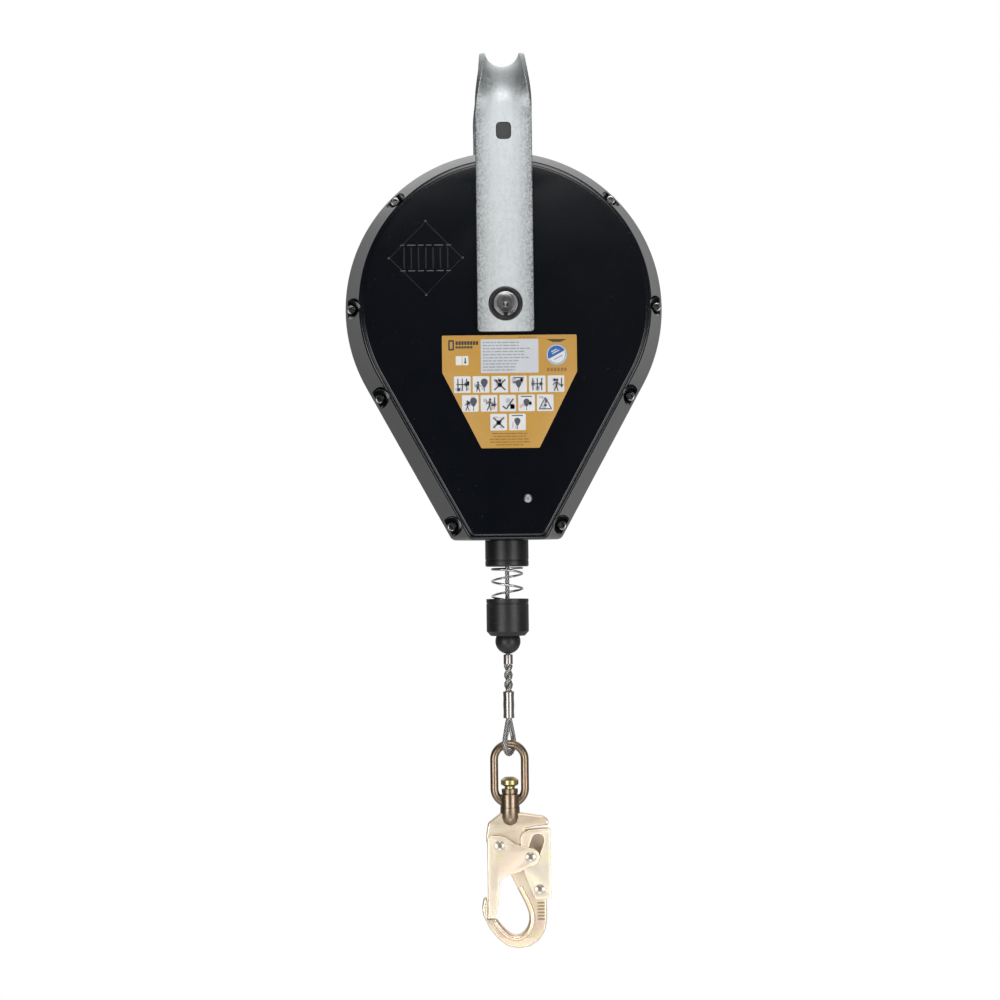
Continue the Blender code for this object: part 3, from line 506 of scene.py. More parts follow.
@once
def yellow_zinc(name, colour, roughness):
    """Zinc plating with a yellow passivate: straw, rose and green drift over each other."""
    made = Finish(name, colour, roughness, 1.0)
    drift = made.noise(34.0, 3.0, made.place((1.0, 1.0, 0.6)))
    cloud = made.noise(85.0, 4.0, made.place(centre=(0.3, 0.1, 0.2)))
    speck = made.ramp(made.noise(700.0, 3.0), (0.6, 0.0), (0.75, 1.0))
    rose = made.ramp(drift, (0.42, 0.0), (0.62, 1.0))
    green = made.ramp(cloud, (0.52, 0.0), (0.70, 1.0))
    red, leaf, blue = tuple(colour)[:3]
    shade = made.mix(rose * 0.7, colour, (min(1.0, red * 1.02), leaf * 0.9, blue * 0.88))
    shade = made.mix(green * 0.5, shade, (red * 0.78, leaf * 0.92, blue * 0.55))
    made.feed(Base_Color=made.mix(speck * 0.3, shade, tint(colour, 0.45)))
    made.feed(Roughness=(roughness - 0.06 + cloud * 0.16 + speck * 0.1).clamped())
    made.bump(made.noise(420.0, 4.0) - speck * 0.5, 0.14, 0.1)
    return made.material


@once
def rope_wire(strands):
    """Stranded wire on the rope's UVs, with painted highlight and shade across the wires and painted shade in
    the gaps between strands: u goes once round with the strands, v is centimetres along it.
    """
    made = Finish("rope_wire", (0.5, 0.5, 0.475), 0.36, 1.0)
    uv = made.tree.nodes.new("ShaderNodeUVMap")
    uv.uv_map = "rope"
    round_it, along, _ = made.parts(Signal(made.tree, uv.outputs[0]))
    in_strand = (round_it * float(strands)).fraction()
    # Painted shade: groove is 1 in the gap between two strands, where the colour below goes near black.
    groove = (in_strand - 0.5).absolute() * 2.0
    wire_ridges_and_sheen = ((in_strand * 4.0 + along * 11.0) * (2 * math.pi)).sine() * 0.5 + 0.5
    grime = made.noise(160.0, 4.0)
    # Painted highlight and shade: light and dark stripes across each wire. The same stripes also drive the
    # bump.
    shade = made.mix(wire_ridges_and_sheen, (0.36, 0.36, 0.34), (0.86, 0.86, 0.83))
    # Painted shade in the gaps between strands.
    shade = made.mix(groove * 0.97, shade, (0.03, 0.03, 0.027))
    made.feed(Base_Color=made.mix(grime * 0.25, shade, (0.1, 0.095, 0.08)))
    made.feed(Roughness=(0.27 + grime * 0.2 + (groove ** 2.0) * 0.2).clamped())
    made.bump(wire_ridges_and_sheen * 0.6, 0.5, 0.15)
    return made.material


@once
def printed_vinyl(name, colour, roughness, ink):
    """Printed vinyl with a faint orange peel, screen dots in the ink and rubbed patches."""
    made = Finish(name, colour, roughness, 0.0)
    wear = made.noise(45.0, 6.0)
    peel = made.noise(900.0, 2.0)
    dots = made.add("ShaderNodeTexVoronoi", {"feature": "F1"}, {"Vector": made.place(), "Scale": 1800.0})
    shade = made.mix(wear, tint(colour, 0.88), tint(colour, 1.1))
    made.feed(Base_Color=made.mix(dots * (0.14 * ink), shade, tint(colour, 0.6)))
    made.feed(Roughness=(roughness - 0.05 + wear * 0.12).clamped())
    made.bump(peel * 0.5 + wear, 0.06, 0.04)
    return made.material


@once
def brake_lining():
    """Pressed friction lining: brown resin with brass and fibre flecks."""
    made = Finish("brake_lining", (0.11, 0.075, 0.045), 0.85)
    values = {"Vector": made.place(), "Scale": 900.0}
    fleck = made.add("ShaderNodeTexVoronoi", {"feature": "F1"}, values, output="Color")
    fleck = made.add("ShaderNodeRGBToBW", None, {"Color": fleck})
    brass = made.ramp(fleck, (0.70, 0.0), (0.80, 1.0))
    shade = made.mix(made.noise(260.0, 5.0), (0.07, 0.045, 0.03), (0.17, 0.12, 0.08))
    made.feed(Base_Color=made.mix(brass, shade, (0.55, 0.38, 0.14)))
    made.feed(Metallic=brass * 0.8)
    made.feed(Roughness=0.9 - brass * 0.45)
    made.bump(fleck, 0.3, 0.15)
    return made.material


# Mesh making


def dress(mesh, finish, sharp):
    """One finish all over, smooth but for edges sharper than an angle in degrees."""
    mesh.materials.clear()
    mesh.materials.append(finish)
    mesh.polygons.foreach_set("material_index", [0] * len(mesh.polygons))
    mesh.shade_smooth()
    mesh.set_sharp_from_angle(angle=math.radians(sharp))


def to_mesh_object(name, mesh, finish, sharp=32.0):
    dress(mesh, finish, sharp)
    piece = bpy.data.objects.new(name, mesh)
    bpy.context.scene.collection.objects.link(piece)
    return piece


def solid(name, work, finish, sharp=32.0):
    """A bmesh in millimetres becomes an object in metres, with its faces pointing out."""
    bmesh.ops.remove_doubles(work, verts=work.verts, dist=0.0005)
    bmesh.ops.recalc_face_normals(work, faces=work.faces)
    bmesh.ops.scale(work, vec=(MM, MM, MM), verts=work.verts)
    mesh = bpy.data.meshes.new(name)
    work.to_mesh(mesh)
    work.free()
    return to_mesh_object(name, mesh, finish, sharp)


def settled(piece, body, slot, *nodes):
    """A finished piece: what it rides on and the CAD nodes that it stands for. Its material slot argument is
    not used.
    """
    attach(piece, body)
    if nodes:
        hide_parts(*nodes)
    return piece


def arc(centre, radius, start, end, steps):
    found = []
    for i in range(steps + 1):
        a = math.radians(start + (end - start) * i / steps)
        found.append((centre[0] + radius * math.cos(a), centre[1] + radius * math.sin(a)))
    return found


def fillet(points, radius, closed=True, steps=4):
    """A line in the plane with its corners rounded. A point may bring its own radius as a third value."""
    found = []
    count = len(points)
    for i, point in enumerate(points):
        here = Vector(point[:2])
        size = point[2] if len(point) > 2 else radius
        if size <= 0 or (not closed and i in (0, count - 1)):
            found.append(tuple(here))
            continue
        back = Vector(points[i - 1][:2]) - here
        ahead = Vector(points[(i + 1) % count][:2]) - here
        if back.length < 1e-6 or ahead.length < 1e-6:
            continue
        turn = math.pi - back.angle(ahead)
        if turn < math.radians(4):
            found.append(tuple(here))
            continue
        reach = min(size * math.tan(turn / 2), back.length * 0.48, ahead.length * 0.48)
        first = here + back.normalized() * reach
        last = here + ahead.normalized() * reach
        for k in range(steps + 1):
            t = k / steps
            found.append(tuple(first * (1 - t) ** 2 + here * 2 * t * (1 - t) + last * t * t))
    return found


def lathe(profile, centre=(0.0, 0.0, 0.0), along=Z, steps=72, edge=0.0, work=None):
    """Turn (radius, position) pairs round an axis, with their corners rounded by edge."""
    closed = min(p[0] for p in profile) > 0
    line = fillet(profile, edge, closed) if edge else [p[:2] for p in profile]
    work = work or bmesh.new()
    rings = []
    for r, t in line:
        ring = []
        for i in range(steps if r > 1e-6 else 1):
            a = 2 * math.pi * i / steps
            side, rise = r * math.cos(a), r * math.sin(a)
            spot = (side, rise, t) if along == Z else (side, t, rise)
            ring.append(work.verts.new(Vector(spot) + Vector(centre)))
        rings.append(ring)
    pairs = list(zip(rings, rings[1:]))
    if closed:
        pairs.append((rings[-1], rings[0]))
    for one, two in pairs:
        for i in range(steps):
            j = (i + 1) % steps
            face = [one[i % len(one)], one[j % len(one)], two[j % len(two)], two[i % len(two)]]
            face = list(dict.fromkeys(face))
            if len(face) > 2:
                work.faces.new(face)
    return work


def loft(rings, work=None, ends=True):
    """A closed solid through rings of points."""
    work = work or bmesh.new()
    made = [[work.verts.new(Vector(p)) for p in ring] for ring in rings]
    for one, two in zip(made, made[1:]):
        for i in range(len(one)):
            j = (i + 1) % len(one)
            work.faces.new((one[i], one[j], two[j], two[i]))
    if ends:
        work.faces.new(made[0])
        work.faces.new(made[-1])
    return work


def prism(outline, near, far, work=None):
    """A solid from near to far along Y, with its outline in X and Z."""
    return loft([[(x, y, z) for x, z in outline] for y in (near, far)], work)


def column(outline, low_z, high_z):
    """A hidden tool from low_z to high_z, with its outline in X and Y."""
    return solid("tool", loft([[(x, y, z) for x, y in outline] for z in (low_z, high_z)]), None)


def plate(name, outline, low_y, high_y, finish, holes=(), edge=0.4, steps=3):
    """A plate cut to an outline in X and Z, with rounded edges. The outline is the plate's full size."""
    curve = bpy.data.curves.new(name, "CURVE")
    curve.dimensions = "2D"
    curve.fill_mode = "BOTH"
    curve.extrude = ((high_y - low_y) / 2 - edge) * MM
    curve.bevel_depth = edge * MM
    curve.bevel_resolution = steps
    curve.offset = -edge * MM
    for loop in (outline, *holes):
        spline = curve.splines.new("POLY")
        spline.points.add(len(loop) - 1)
        for point, spot in zip(spline.points, loop):
            point.co = (spot[0] * MM, spot[1] * MM, 0, 1)
        spline.use_cyclic_u = True
    sheet = bpy.data.objects.new(name, curve)
    bpy.context.scene.collection.objects.link(sheet)
    bpy.context.view_layer.update()
    mesh = bpy.data.meshes.new_from_object(sheet.evaluated_get(bpy.context.evaluated_depsgraph_get()))
    bpy.data.objects.remove(sheet, do_unlink=True)
    work = bmesh.new()
    work.from_mesh(mesh)
    bmesh.ops.remove_doubles(work, verts=work.verts, dist=0.000002)
    turn = Matrix.Translation((0, (low_y + high_y) / 2 * MM, 0)) @ Matrix.Rotation(math.pi / 2, 4, "X")
    bmesh.ops.transform(work, matrix=turn, verts=work.verts)
    bmesh.ops.recalc_face_normals(work, faces=work.faces)
    work.to_mesh(mesh)
    work.free()
    return to_mesh_object(name, mesh, finish)


def rods(items, segments=40):
    """A hidden tool of straight cylinders, each (start, end, radius)."""
    work = bmesh.new()
    for start, end, radius in items:
        start, end = Vector(start), Vector(end)
        turn = Vector((0, 0, 1)).rotation_difference(end - start).to_matrix().to_4x4()
        place = Matrix.Translation((start + end) / 2) @ turn
        size = {"radius1": radius, "radius2": radius, "depth": (end - start).length}
        bmesh.ops.create_cone(work, cap_ends=True, segments=segments, matrix=place, **size)
    return solid("tool", work, None)


def shaped(piece, *tools, sharp=32.0):
    """Joins or cuts a piece with tools, each (object, operation), and removes the tools."""
    for tool, operation in tools:
        step = piece.modifiers.new("shape", "BOOLEAN")
        step.operation = operation
        step.object = tool
    view = bpy.context.evaluated_depsgraph_get()
    mesh = bpy.data.meshes.new_from_object(piece.evaluated_get(view))
    finish = piece.data.materials[0]
    old = piece.data
    piece.modifiers.clear()
    piece.data = mesh
    bpy.data.meshes.remove(old)
    for tool, _ in tools:
        bpy.data.objects.remove(tool, do_unlink=True)
    dress(mesh, finish, sharp)
    return piece


def frames_along(points, closed=False):
    """A side and an up direction at each point of a line, carried along it without twist."""
    count = len(points)
    ways = []
    for i in range(count):
        back = points[i - 1] if i or closed else points[0]
        ahead = points[(i + 1) % count] if i < count - 1 or closed else points[-1]
        ways.append((ahead - back).normalized())
    side = ways[0].orthogonal().normalized()
    found = []
    for way in ways:
        side = (side - way * side.dot(way)).normalized()
        found.append((side.copy(), way.cross(side)))
    return found


def tube(points, radius, sides=20, closed=False, work=None):
    """A round wire along points, with domed ends, or a closed ring."""
    work = work or bmesh.new()
    points = [Vector(p) for p in points]
    rings = []
    for point, (side, up) in zip(points, frames_along(points, closed)):
        angles = [2 * math.pi * k / sides for k in range(sides)]
        ways = [side * math.cos(a) + up * math.sin(a) for a in angles]
        rings.append([work.verts.new(point + way * radius) for way in ways])
    if closed:
        shift = min(range(sides), key=lambda k: (rings[0][k].co - rings[-1][0].co).length)
        rings.append(rings[0][shift:] + rings[0][:shift])
    for one, two in zip(rings, rings[1:]):
        for k in range(sides):
            j = (k + 1) % sides
            work.faces.new((one[k], one[j], two[j], two[k]))
    if not closed:
        work.faces.new(rings[0])
        work.faces.new(rings[-1])
    return work


def evenly(points, step, soften=6):
    """The same line with its points a step apart and its kinks eased."""
    points = [Vector(p) for p in points]
    found = [points[0]]
    left = step
    for one, two in zip(points, points[1:]):
        way = two - one
        length = way.length
        gone = left
        while gone <= length:
            found.append(one + way * (gone / length))
            gone += step
        left = gone - length
    if (found[-1] - points[-1]).length > step * 0.3:
        found.append(points[-1])
    for _ in range(soften):
        eased = [(a + b * 2 + c) / 4 for a, b, c in zip(found, found[1:], found[2:])]
        found = [found[0], *eased, found[-1]]
    return found


def stranded(name, points, radius, strands, lay, finish, per_strand=5):
    """A wire rope: a ring of round strands that turns once in each lay. Its UVs follow the strands."""
    sides = strands * per_strand
    core = radius * (1 - 1 / (1 + 1 / math.sin(math.pi / strands)))
    strand_r = radius - core
    work = bmesh.new()
    uv = work.loops.layers.uv.new("rope")
    rings = []
    gone = 0.0
    runs = []
    for i, (point, (side, up)) in enumerate(zip(points, frames_along(points))):
        if i:
            gone += (point - points[i - 1]).length
        runs.append(gone)
        ring = []
        for k in range(sides):
            off = (k % per_strand) / per_strand - 0.5 + 0.5 / per_strand
            a = off * 2 * math.pi / strands
            reach = core * math.cos(a) + math.sqrt(max(0.0, strand_r**2 - (core * math.sin(a)) ** 2))
            turn = 2 * math.pi * ((k + 0.5) / sides + gone / lay)
            ring.append(work.verts.new(point + (side * math.cos(turn) + up * math.sin(turn)) * reach))
        rings.append(ring)
    for i, (one, two) in enumerate(zip(rings, rings[1:])):
        for k in range(sides):
            j = (k + 1) % sides
            face = work.faces.new((one[k], one[j], two[j], two[k]))
            spots = ((k, i), (k + 1, i), (k + 1, i + 1), (k, i + 1))
            for loop, (across, run) in zip(face.loops, spots):
                loop[uv].uv = ((across + 0.5) / sides, runs[run] / 10)
    work.faces.new(rings[0][::-1])
    work.faces.new(rings[-1])
    return solid(name, work, finish, 60.0)


# Geometry Nodes making


class Recipe(Nodes):
    """A Geometry Nodes tree with named inputs, run on an object and turned into its plain mesh."""

    def __init__(self, name, **inputs):
        super().__init__(bpy.data.node_groups.new(name, "GeometryNodeTree"))
        face = self.tree.interface
        face.new_socket("Geometry", in_out="INPUT", socket_type="NodeSocketGeometry")
        face.new_socket("Geometry", in_out="OUTPUT", socket_type="NodeSocketGeometry")
        self.source = self.tree.nodes.new("NodeGroupInput")
        self.keys = {}
        self.values = inputs
        kinds = {int: "NodeSocketInt", float: "NodeSocketFloat"}
        for label, value in inputs.items():
            kind = kinds.get(type(value), "NodeSocketObject")
            socket = face.new_socket(label.replace("_", " "), in_out="INPUT", socket_type=kind)
            self.keys[label] = socket.identifier
        self.end = self.tree.nodes.new("NodeGroupOutput")

    def given(self, label):
        return Signal(self.tree, self.source.outputs[label.replace("_", " ")])

    def start(self):
        return Signal(self.tree, self.source.outputs["Geometry"])

    def run(self, name, shape, finish, spots=(), sharp=32.0):
        """Ends the tree, runs it on an object of loose points and returns the object as a plain mesh."""
        shape = self.add("GeometryNodeRealizeInstances", None, {"Geometry": shape})
        shape = self.add("GeometryNodeSetMaterial", None, {"Geometry": shape, "Material": finish})
        self.tree.links.new(shape.socket, self.end.inputs[0])
        mesh = bpy.data.meshes.new(name)
        mesh.from_pydata([Vector(p) * MM for p in spots], [], [])
        piece = bpy.data.objects.new(name, mesh)
        bpy.context.scene.collection.objects.link(piece)
        step = piece.modifiers.new("recipe", "NODES")
        step.node_group = self.tree
        for label, value in self.values.items():
            step[self.keys[label]] = value
        bpy.context.view_layer.update()
        made = bpy.data.meshes.new_from_object(piece.evaluated_get(bpy.context.evaluated_depsgraph_get()))
        piece.modifiers.clear()
        piece.data = made
        bpy.data.meshes.remove(mesh)
        work = bmesh.new()
        work.from_mesh(made)
        bmesh.ops.remove_doubles(work, verts=work.verts, dist=0.000002)
        bmesh.ops.recalc_face_normals(work, faces=work.faces)
        work.to_mesh(made)
        work.free()
        dress(made, finish, sharp)
        return piece


def coil(name, finish, radius, wire, turns, start, end, centre, along=Z, phase=0.0, dead=0.0, points=48):
    """A coil spring. Dead is the share of its turns at each end that lie closed."""
    sizes = {"Radius": radius, "Wire": wire, "Turns": turns, "Start": start, "End": end}
    recipe = Recipe(name + "_recipe", **{k: float(v) * (1 if k == "Turns" else MM) for k, v in sizes.items()})
    count = int(turns * points)
    line = recipe.add("GeometryNodeCurvePrimitiveLine", None, {"End": (0.0, 0.0, 1.0)})
    line = recipe.add("GeometryNodeResampleCurve", None, {"Curve": line, "Count": count})
    share = recipe.add("GeometryNodeSplineParameter", output="Factor")
    angle = share * recipe.given("Turns") * (2 * math.pi) + math.radians(phase)
    across = angle.cosine() * recipe.given("Radius")
    rise = angle.sine() * recipe.given("Radius")
    eased = ((share - dead) / (1 - 2 * dead)).clamped() if dead else share
    closed_pitch = share * recipe.given("Wire") * (2.02 * turns)
    travel = recipe.given("End") - recipe.given("Start")
    lean = 1.0 if end > start else -1.0
    spare = travel - recipe.given("Wire") * (2.02 * turns * lean)
    run = recipe.given("Start") + share * travel
    if dead:
        run = recipe.given("Start") + eased * spare + closed_pitch * lean
    spot = {Z: (across, rise, run), Y: (across, run, rise), X: (run, across, rise)}[along]
    values = {"X": spot[0] + centre[0] * MM, "Y": spot[1] + centre[1] * MM, "Z": spot[2] + centre[2] * MM}
    place = recipe.add("ShaderNodeCombineXYZ", None, values)
    line = recipe.add("GeometryNodeSetPosition", None, {"Geometry": line, "Position": place})
    section = {"Resolution": 14, "Radius": recipe.given("Wire")}
    section = recipe.add("GeometryNodeCurvePrimitiveCircle", None, section)
    wound = {"Curve": line, "Profile Curve": section, "Fill Caps": True}
    return recipe.run(name, recipe.add("GeometryNodeCurveToMesh", None, wound), finish, sharp=50.0)


# Finishes by the record's slots


def plastic():
    look = bpy.context.scene.lifeline_casing
    return moulded_plastic("black_plastic", tuple(look.shade), look.gloss)


def zinc_screw():
    return plain_steel("screw_zinc", (0.55, 0.56, 0.57), 0.34, 900.0)


def spring_wire():
    return plain_steel("spring_steel", (0.52, 0.52, 0.53), 0.28, 1400.0)


def buffer_rubber():
    return rubber("buffer_rubber", (0.0055, 0.0055, 0.006), 0.42)


def pressed_tin():
    return plain_steel("pressed_tin", (0.34, 0.32, 0.3), 0.3, 500.0)


def cheek_zinc():
    return yellow_zinc("cheek_zinc", (0.98, 0.88, 0.72), 0.4)


def body_zinc():
    return yellow_zinc("body_zinc", (0.88, 0.76, 0.6), 0.38)


def link_zinc():
    return yellow_zinc("link_zinc", (0.27, 0.205, 0.15), 0.3)


def rope_finish():
    return rope_wire(bpy.context.scene.lifeline_rope.strands)


# Stage


class BuildStage(bpy.types.Operator):
    """Place the floor, the soft lights and the camera"""

    bl_idname = "lifeline.stage"
    bl_label = "Stage"

    def execute(self, context):
        look = context.scene.lifeline_stage
        floor = loft([[(x, y, z) for x, y in arc((0, 0), 2600, 0, 357, 119)] for z in (-1610, -1600)])
        paint = Finish("pale_floor", (0.86, 0.86, 0.85), 0.7)
        paint.feed(Roughness=(paint.noise(6.0) * 0.2 + 0.6).clamped())
        solid("floor", floor, paint.material)
        aim = Vector((-0.0056, 0.0, -0.382))
        stand = Vector((-math.sin(look.yaw), -math.cos(look.yaw), -math.tan(look.pitch))).normalized()
        camera = bpy.data.objects.new("camera", bpy.data.cameras.new("camera"))
        camera.data.lens = look.lens
        camera.location = aim + stand * look.distance
        turn = (-stand).to_track_quat("-Z", "Y").to_matrix() @ Matrix.Rotation(look.roll, 3, "Z")
        camera.rotation_euler = turn.to_euler()
        context.scene.collection.objects.link(camera)
        context.scene.camera = camera
        for name, place, size, power in (
            ("left_box", (-1.2, -1.8, -0.75), 1.0, 18.5),
            ("right_box", (1.25, -1.75, -0.75), 1.0, 17.0),
            ("top_box", (0.1, -1.5, 0.75), 0.8, 12.0),
            ("low_box", (0.0, -1.2, -1.5), 0.4, 2.5),
        ):
            lamp = bpy.data.lights.new(name, "AREA")
            lamp.energy = power
            lamp.size = size
            light = bpy.data.objects.new(name, lamp)
            light.location = place
            light.rotation_euler = (Vector(place) - aim).to_track_quat("Z", "Y").to_euler()
            context.scene.collection.objects.link(light)
        self.sky(context.scene)
        context.scene.view_settings.view_transform = "Standard"
        return {"FINISHED"}

    @staticmethod
    def sky(scene):
        """White to look at. As light: bright above, grey behind and dim in front, so the panel stays dark."""
        world = bpy.data.worlds.new("studio")
        scene.world = world
        world.use_nodes = True
        sky = Nodes(world.node_tree)
        side, back, up = sky.parts(sky.add("ShaderNodeTexCoord", output="Generated"))
        depth = [(0.0, 0.015), (0.3, 0.04), (0.7, 0.12), (0.88, 0.4)]
        glow = sky.ramp(back * 0.5 + 0.5, *depth) + side.clamped() * 0.15
        glow = glow + sky.ramp(up, (0.34, 0.0), (0.5, 1.0)) * sky.ramp(back, (0.35, 0.0), (0.75, 1.0)) * 1.2
        glow = glow + sky.ramp(up, (0.6, 0.0), (0.9, 1.0)) * 0.5
        seen = sky.add("ShaderNodeLightPath", output="Is Camera Ray")
        paint = world.node_tree.nodes["Background"]
        mix = world.node_tree.nodes.new("ShaderNodeMix")
        mix.data_type = "RGBA"
        for index, value in ((0, seen), (6, glow)):
            world.node_tree.links.new(value.socket, mix.inputs[index])
        mix.inputs[7].default_value = (1.0, 1.0, 1.0, 1.0)
        world.node_tree.links.new(mix.outputs[2], paint.inputs["Color"])


# Rope


def lean_angle():
    """Angle from the vertical of the rope between the drum and the guide."""
    reach = math.hypot(GUIDE_BEND_R, AXLE_Z - THROAT_Z)
    across = math.asin((GUIDE_BEND_R + LEAVING_R) / reach)
    return across - math.atan2(GUIDE_BEND_R, AXLE_Z - THROAT_Z)


def inside_route(end):
    """From the drum's tangent over the guide's lip and straight down into the nozzle."""
    lean = lean_angle()
    points = [(-LEAVING_R * math.cos(lean), 0.0, AXLE_Z - LEAVING_R * math.sin(lean))]
    for i in range(13):
        a = lean * (1 - i / 12)
        points.append((-GUIDE_BEND_R * (1 - math.cos(a)), 0.0, THROAT_Z + GUIDE_BEND_R * math.sin(a)))
    return points + [(0.0, 0.0, end)]


def eye_start():
    """Angle on the eye's round, in its own plane, where its straight side begins."""
    rise = FERRULE_END - 2.0 - EYE_Z
    return math.degrees(math.atan2(rise, STRAND) - math.acos(EYE_R / math.hypot(STRAND, rise)))


def in_eye_plane(across, z):
    return (across * math.cos(EYE_TURN), across * math.sin(EYE_TURN), z)


def splice_route():
    """Down beside the tail, twisted with it through the ferrule, round the eye and back the same way."""
    top = SLEEVE_END - 4 * GAP
    fall = FERRULE_END - 1.0 - top
    steps = 96
    down = []
    for i in range(steps + 1):
        a = math.pi + (EYE_TURN - SPLICE_TURNS * 2 * math.pi) * i / steps
        down.append((STRAND * math.cos(a), STRAND * math.sin(a), top + fall * i / steps))
    start = eye_start()
    bow = [in_eye_plane(-across, z) for across, z in arc((0, EYE_Z), EYE_R, start, -180 - start, 32)]
    return down + bow + [(-x, -y, z) for x, y, z in down[::-1]]


class BuildRope(bpy.types.Operator):
    """Lay the wire rope: the free line and its eye, the stretch inside the casing and the drum's turns"""

    bl_idname = "lifeline.rope"
    bl_label = "Wire Rope"

    def execute(self, context):
        look = context.scene.lifeline_rope
        radius = look.diameter / MM / 2
        lay = look.lay / MM
        free = [(0, 0, CORD_TOP), (0, 0, SLEEVE_TOP), (-STRAND, 0, SLEEVE_END)]
        path = evenly(free + splice_route(), 0.7)
        cord = stranded("lifeline", path, radius, look.strands, lay, rope_finish())
        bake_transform(cord)
        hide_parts("lifeline_free", "lifeline_eye")
        length = sum((b - a).length for a, b in zip(path, path[1:])) * MM
        [p * MM for p in path]
        inside = evenly(inside_route(CORD_TOP + GAP), 0.9)
        line = stranded("lifeline_run", inside, radius, look.strands, lay, rope_finish(), 4)
        settled(line, "root", "rope_steel", "lifeline_inside")
        self.wind(look)
        return {"FINISHED"}

    @staticmethod
    def wind(look):
        """The turns on the drum, wound side to side in layers."""
        radius = look.diameter / 2
        core_r, half_width = 74.5, 12.4
        layers, turns = 4, 7
        recipe = Recipe("winding", Rope=float(radius), Inner=core_r * MM, Half_Width=half_width * MM)
        line = recipe.add("GeometryNodeCurvePrimitiveLine", None, {"End": (0.0, 0.0, 1.0)})
        count = layers * turns * 40
        line = recipe.add("GeometryNodeResampleCurve", None, {"Curve": line, "Count": count})
        run = recipe.add("GeometryNodeSplineParameter", output="Factor") * (layers - 0.001)
        level = run.floor() + ((run.fraction() - 0.97) / 0.03).clamped()
        reach = recipe.given("Inner") + level * recipe.given("Rope") * 1.84
        across = (run.pingpong() * 2.0 - 1.0) * recipe.given("Half Width")
        angle = run * (2 * math.pi * turns)
        values = {"X": angle.cosine() * reach, "Y": across, "Z": angle.sine() * reach + AXLE_Z * MM}
        place = recipe.add("ShaderNodeCombineXYZ", None, values)
        line = recipe.add("GeometryNodeSetPosition", None, {"Geometry": line, "Position": place})
        section = {"Resolution": 8, "Radius": recipe.given("Rope")}
        ring = recipe.add("GeometryNodeCurvePrimitiveCircle", None, section)
        wound = {"Curve": line, "Profile Curve": ring, "Fill Caps": True}
        shape = recipe.add("GeometryNodeCurveToMesh", None, wound)
        wire = plain_steel("wound_wire", (0.4, 0.4, 0.38), 0.42, 1500.0)
        settled(recipe.run("wound_rope", shape, wire), "drum_body", "rope_steel", "rope_pack")


class BuildSplice(bpy.types.Operator):
    """Make the stop sleeve, the pressed ferrule and the thimble on the rope's end"""

    bl_idname = "lifeline.splice"
    bl_label = "Splice"

    def execute(self, context):
        profile = [(0, SLEEVE_TOP), (4.15, SLEEVE_TOP), (4.15, SLEEVE_END), (0, SLEEVE_END)]
        sleeve = solid("stop_collar", lathe(profile, edge=0.5, steps=48), pressed_tin())
        settled(sleeve, "line_end", "ferrule_tin", "stop_sleeve")
        self.clamp()
        start = eye_start()
        reach = EYE_R - 3.6
        apex = (0.0, 0.0, EYE_Z + reach / math.sin(math.radians(start)) - 1.2)
        bow = [in_eye_plane(-across, z) for across, z in arc((0, EYE_Z), reach, start, -180 - start, 40)]
        ring = tube([apex, *bow], 1.2, 16, closed=True)
        ring = solid("rope_thimble", ring, zinc_screw())
        settled(ring, "line_end", "screw_zinc", "eye_thimble")
        return {"FINISHED"}

    @staticmethod
    def clamp():
        """The ferrule is pressed oval in two bites, so it is wider across the two rope parts at its ends."""
        rings = []
        steps = 40
        outer = 4.98
        stations = [(0.0, -0.5), (0.25, -0.12), (0.7, 0.0)]
        span = FERRULE_TOP - FERRULE_END
        marks = [drop for drop, _ in stations] + [span * k / 24 for k in range(2, 23)]
        marks += [span - drop for drop, _ in stations[::-1]]
        for drop in marks:
            near = min(drop, span - drop)
            ease = next((cut for reach, cut in stations if near <= reach + 1e-6), 0.0)
            bite = 0.22 * math.sin(math.pi * drop / span * 2) ** 2
            ring = []
            for k in range(steps):
                a = 2 * math.pi * k / steps
                r = outer + ease - bite * (1 + math.cos(2 * a)) / 2
                ring.append((r * math.cos(a), r * math.sin(a), FERRULE_TOP - drop))
            rings.append(ring)
        clamp = solid("rope_clamp", loft(rings), pressed_tin())
        settled(clamp, "line_end", "ferrule_tin", "rope_ferrule")


# Casing


def side_x(drop, inset=0.0):
    return (RIM_R - inset) / math.cos(SIDE_ANGLE) - drop * math.tan(SIDE_ANGLE)


def casing_ring(y, inset, bottom):
    """The teardrop outline at one depth, moved in by inset on the round and sides and up by bottom."""
    lean = math.degrees(SIDE_ANGLE)
    floor = CASING_BOTTOM + bottom
    corner = side_x(AXLE_Z - floor, inset)
    soft = 4.0
    up = Vector((corner + soft * math.sin(SIDE_ANGLE), floor + soft * math.cos(SIDE_ANGLE)))
    turn = Vector((corner, floor))
    flat_end = Vector((corner - soft, floor))
    right = []
    for k in range(7):
        t = k / 6
        right.append(tuple(flat_end * (1 - t) ** 2 + turn * 2 * t * (1 - t) + up * t * t))
    round_top = arc((0, AXLE_Z), RIM_R - inset, -lean, 180 + lean, 110)
    return [(x, y, z) for x, z in right + round_top + [(-x, z) for x, z in right[::-1]]]


def rim_screw_places():
    reach = RIM_R - SCREW_INSET
    places = []
    for degrees in (45.0, 0.0, 180.0, 135.0):
        a = math.radians(degrees)
        places.append((reach * math.cos(a), AXLE_Z + reach * math.sin(a)))
    for drop in (80.0, 195.0):
        x = side_x(drop, SCREW_INSET)
        places += [(x, AXLE_Z - drop), (-x, AXLE_Z - drop)]
    return places


def upright_block(half_x, near, far, low_z, high_z, corner, name="tool", finish=None):
    """A block whose edges along Y are rounded."""
    corners = [(half_x, low_z), (half_x, high_z), (-half_x, high_z), (-half_x, low_z)]
    outline = fillet(corners, corner, steps=6)
    return solid(name, prism(outline, near, far), finish)


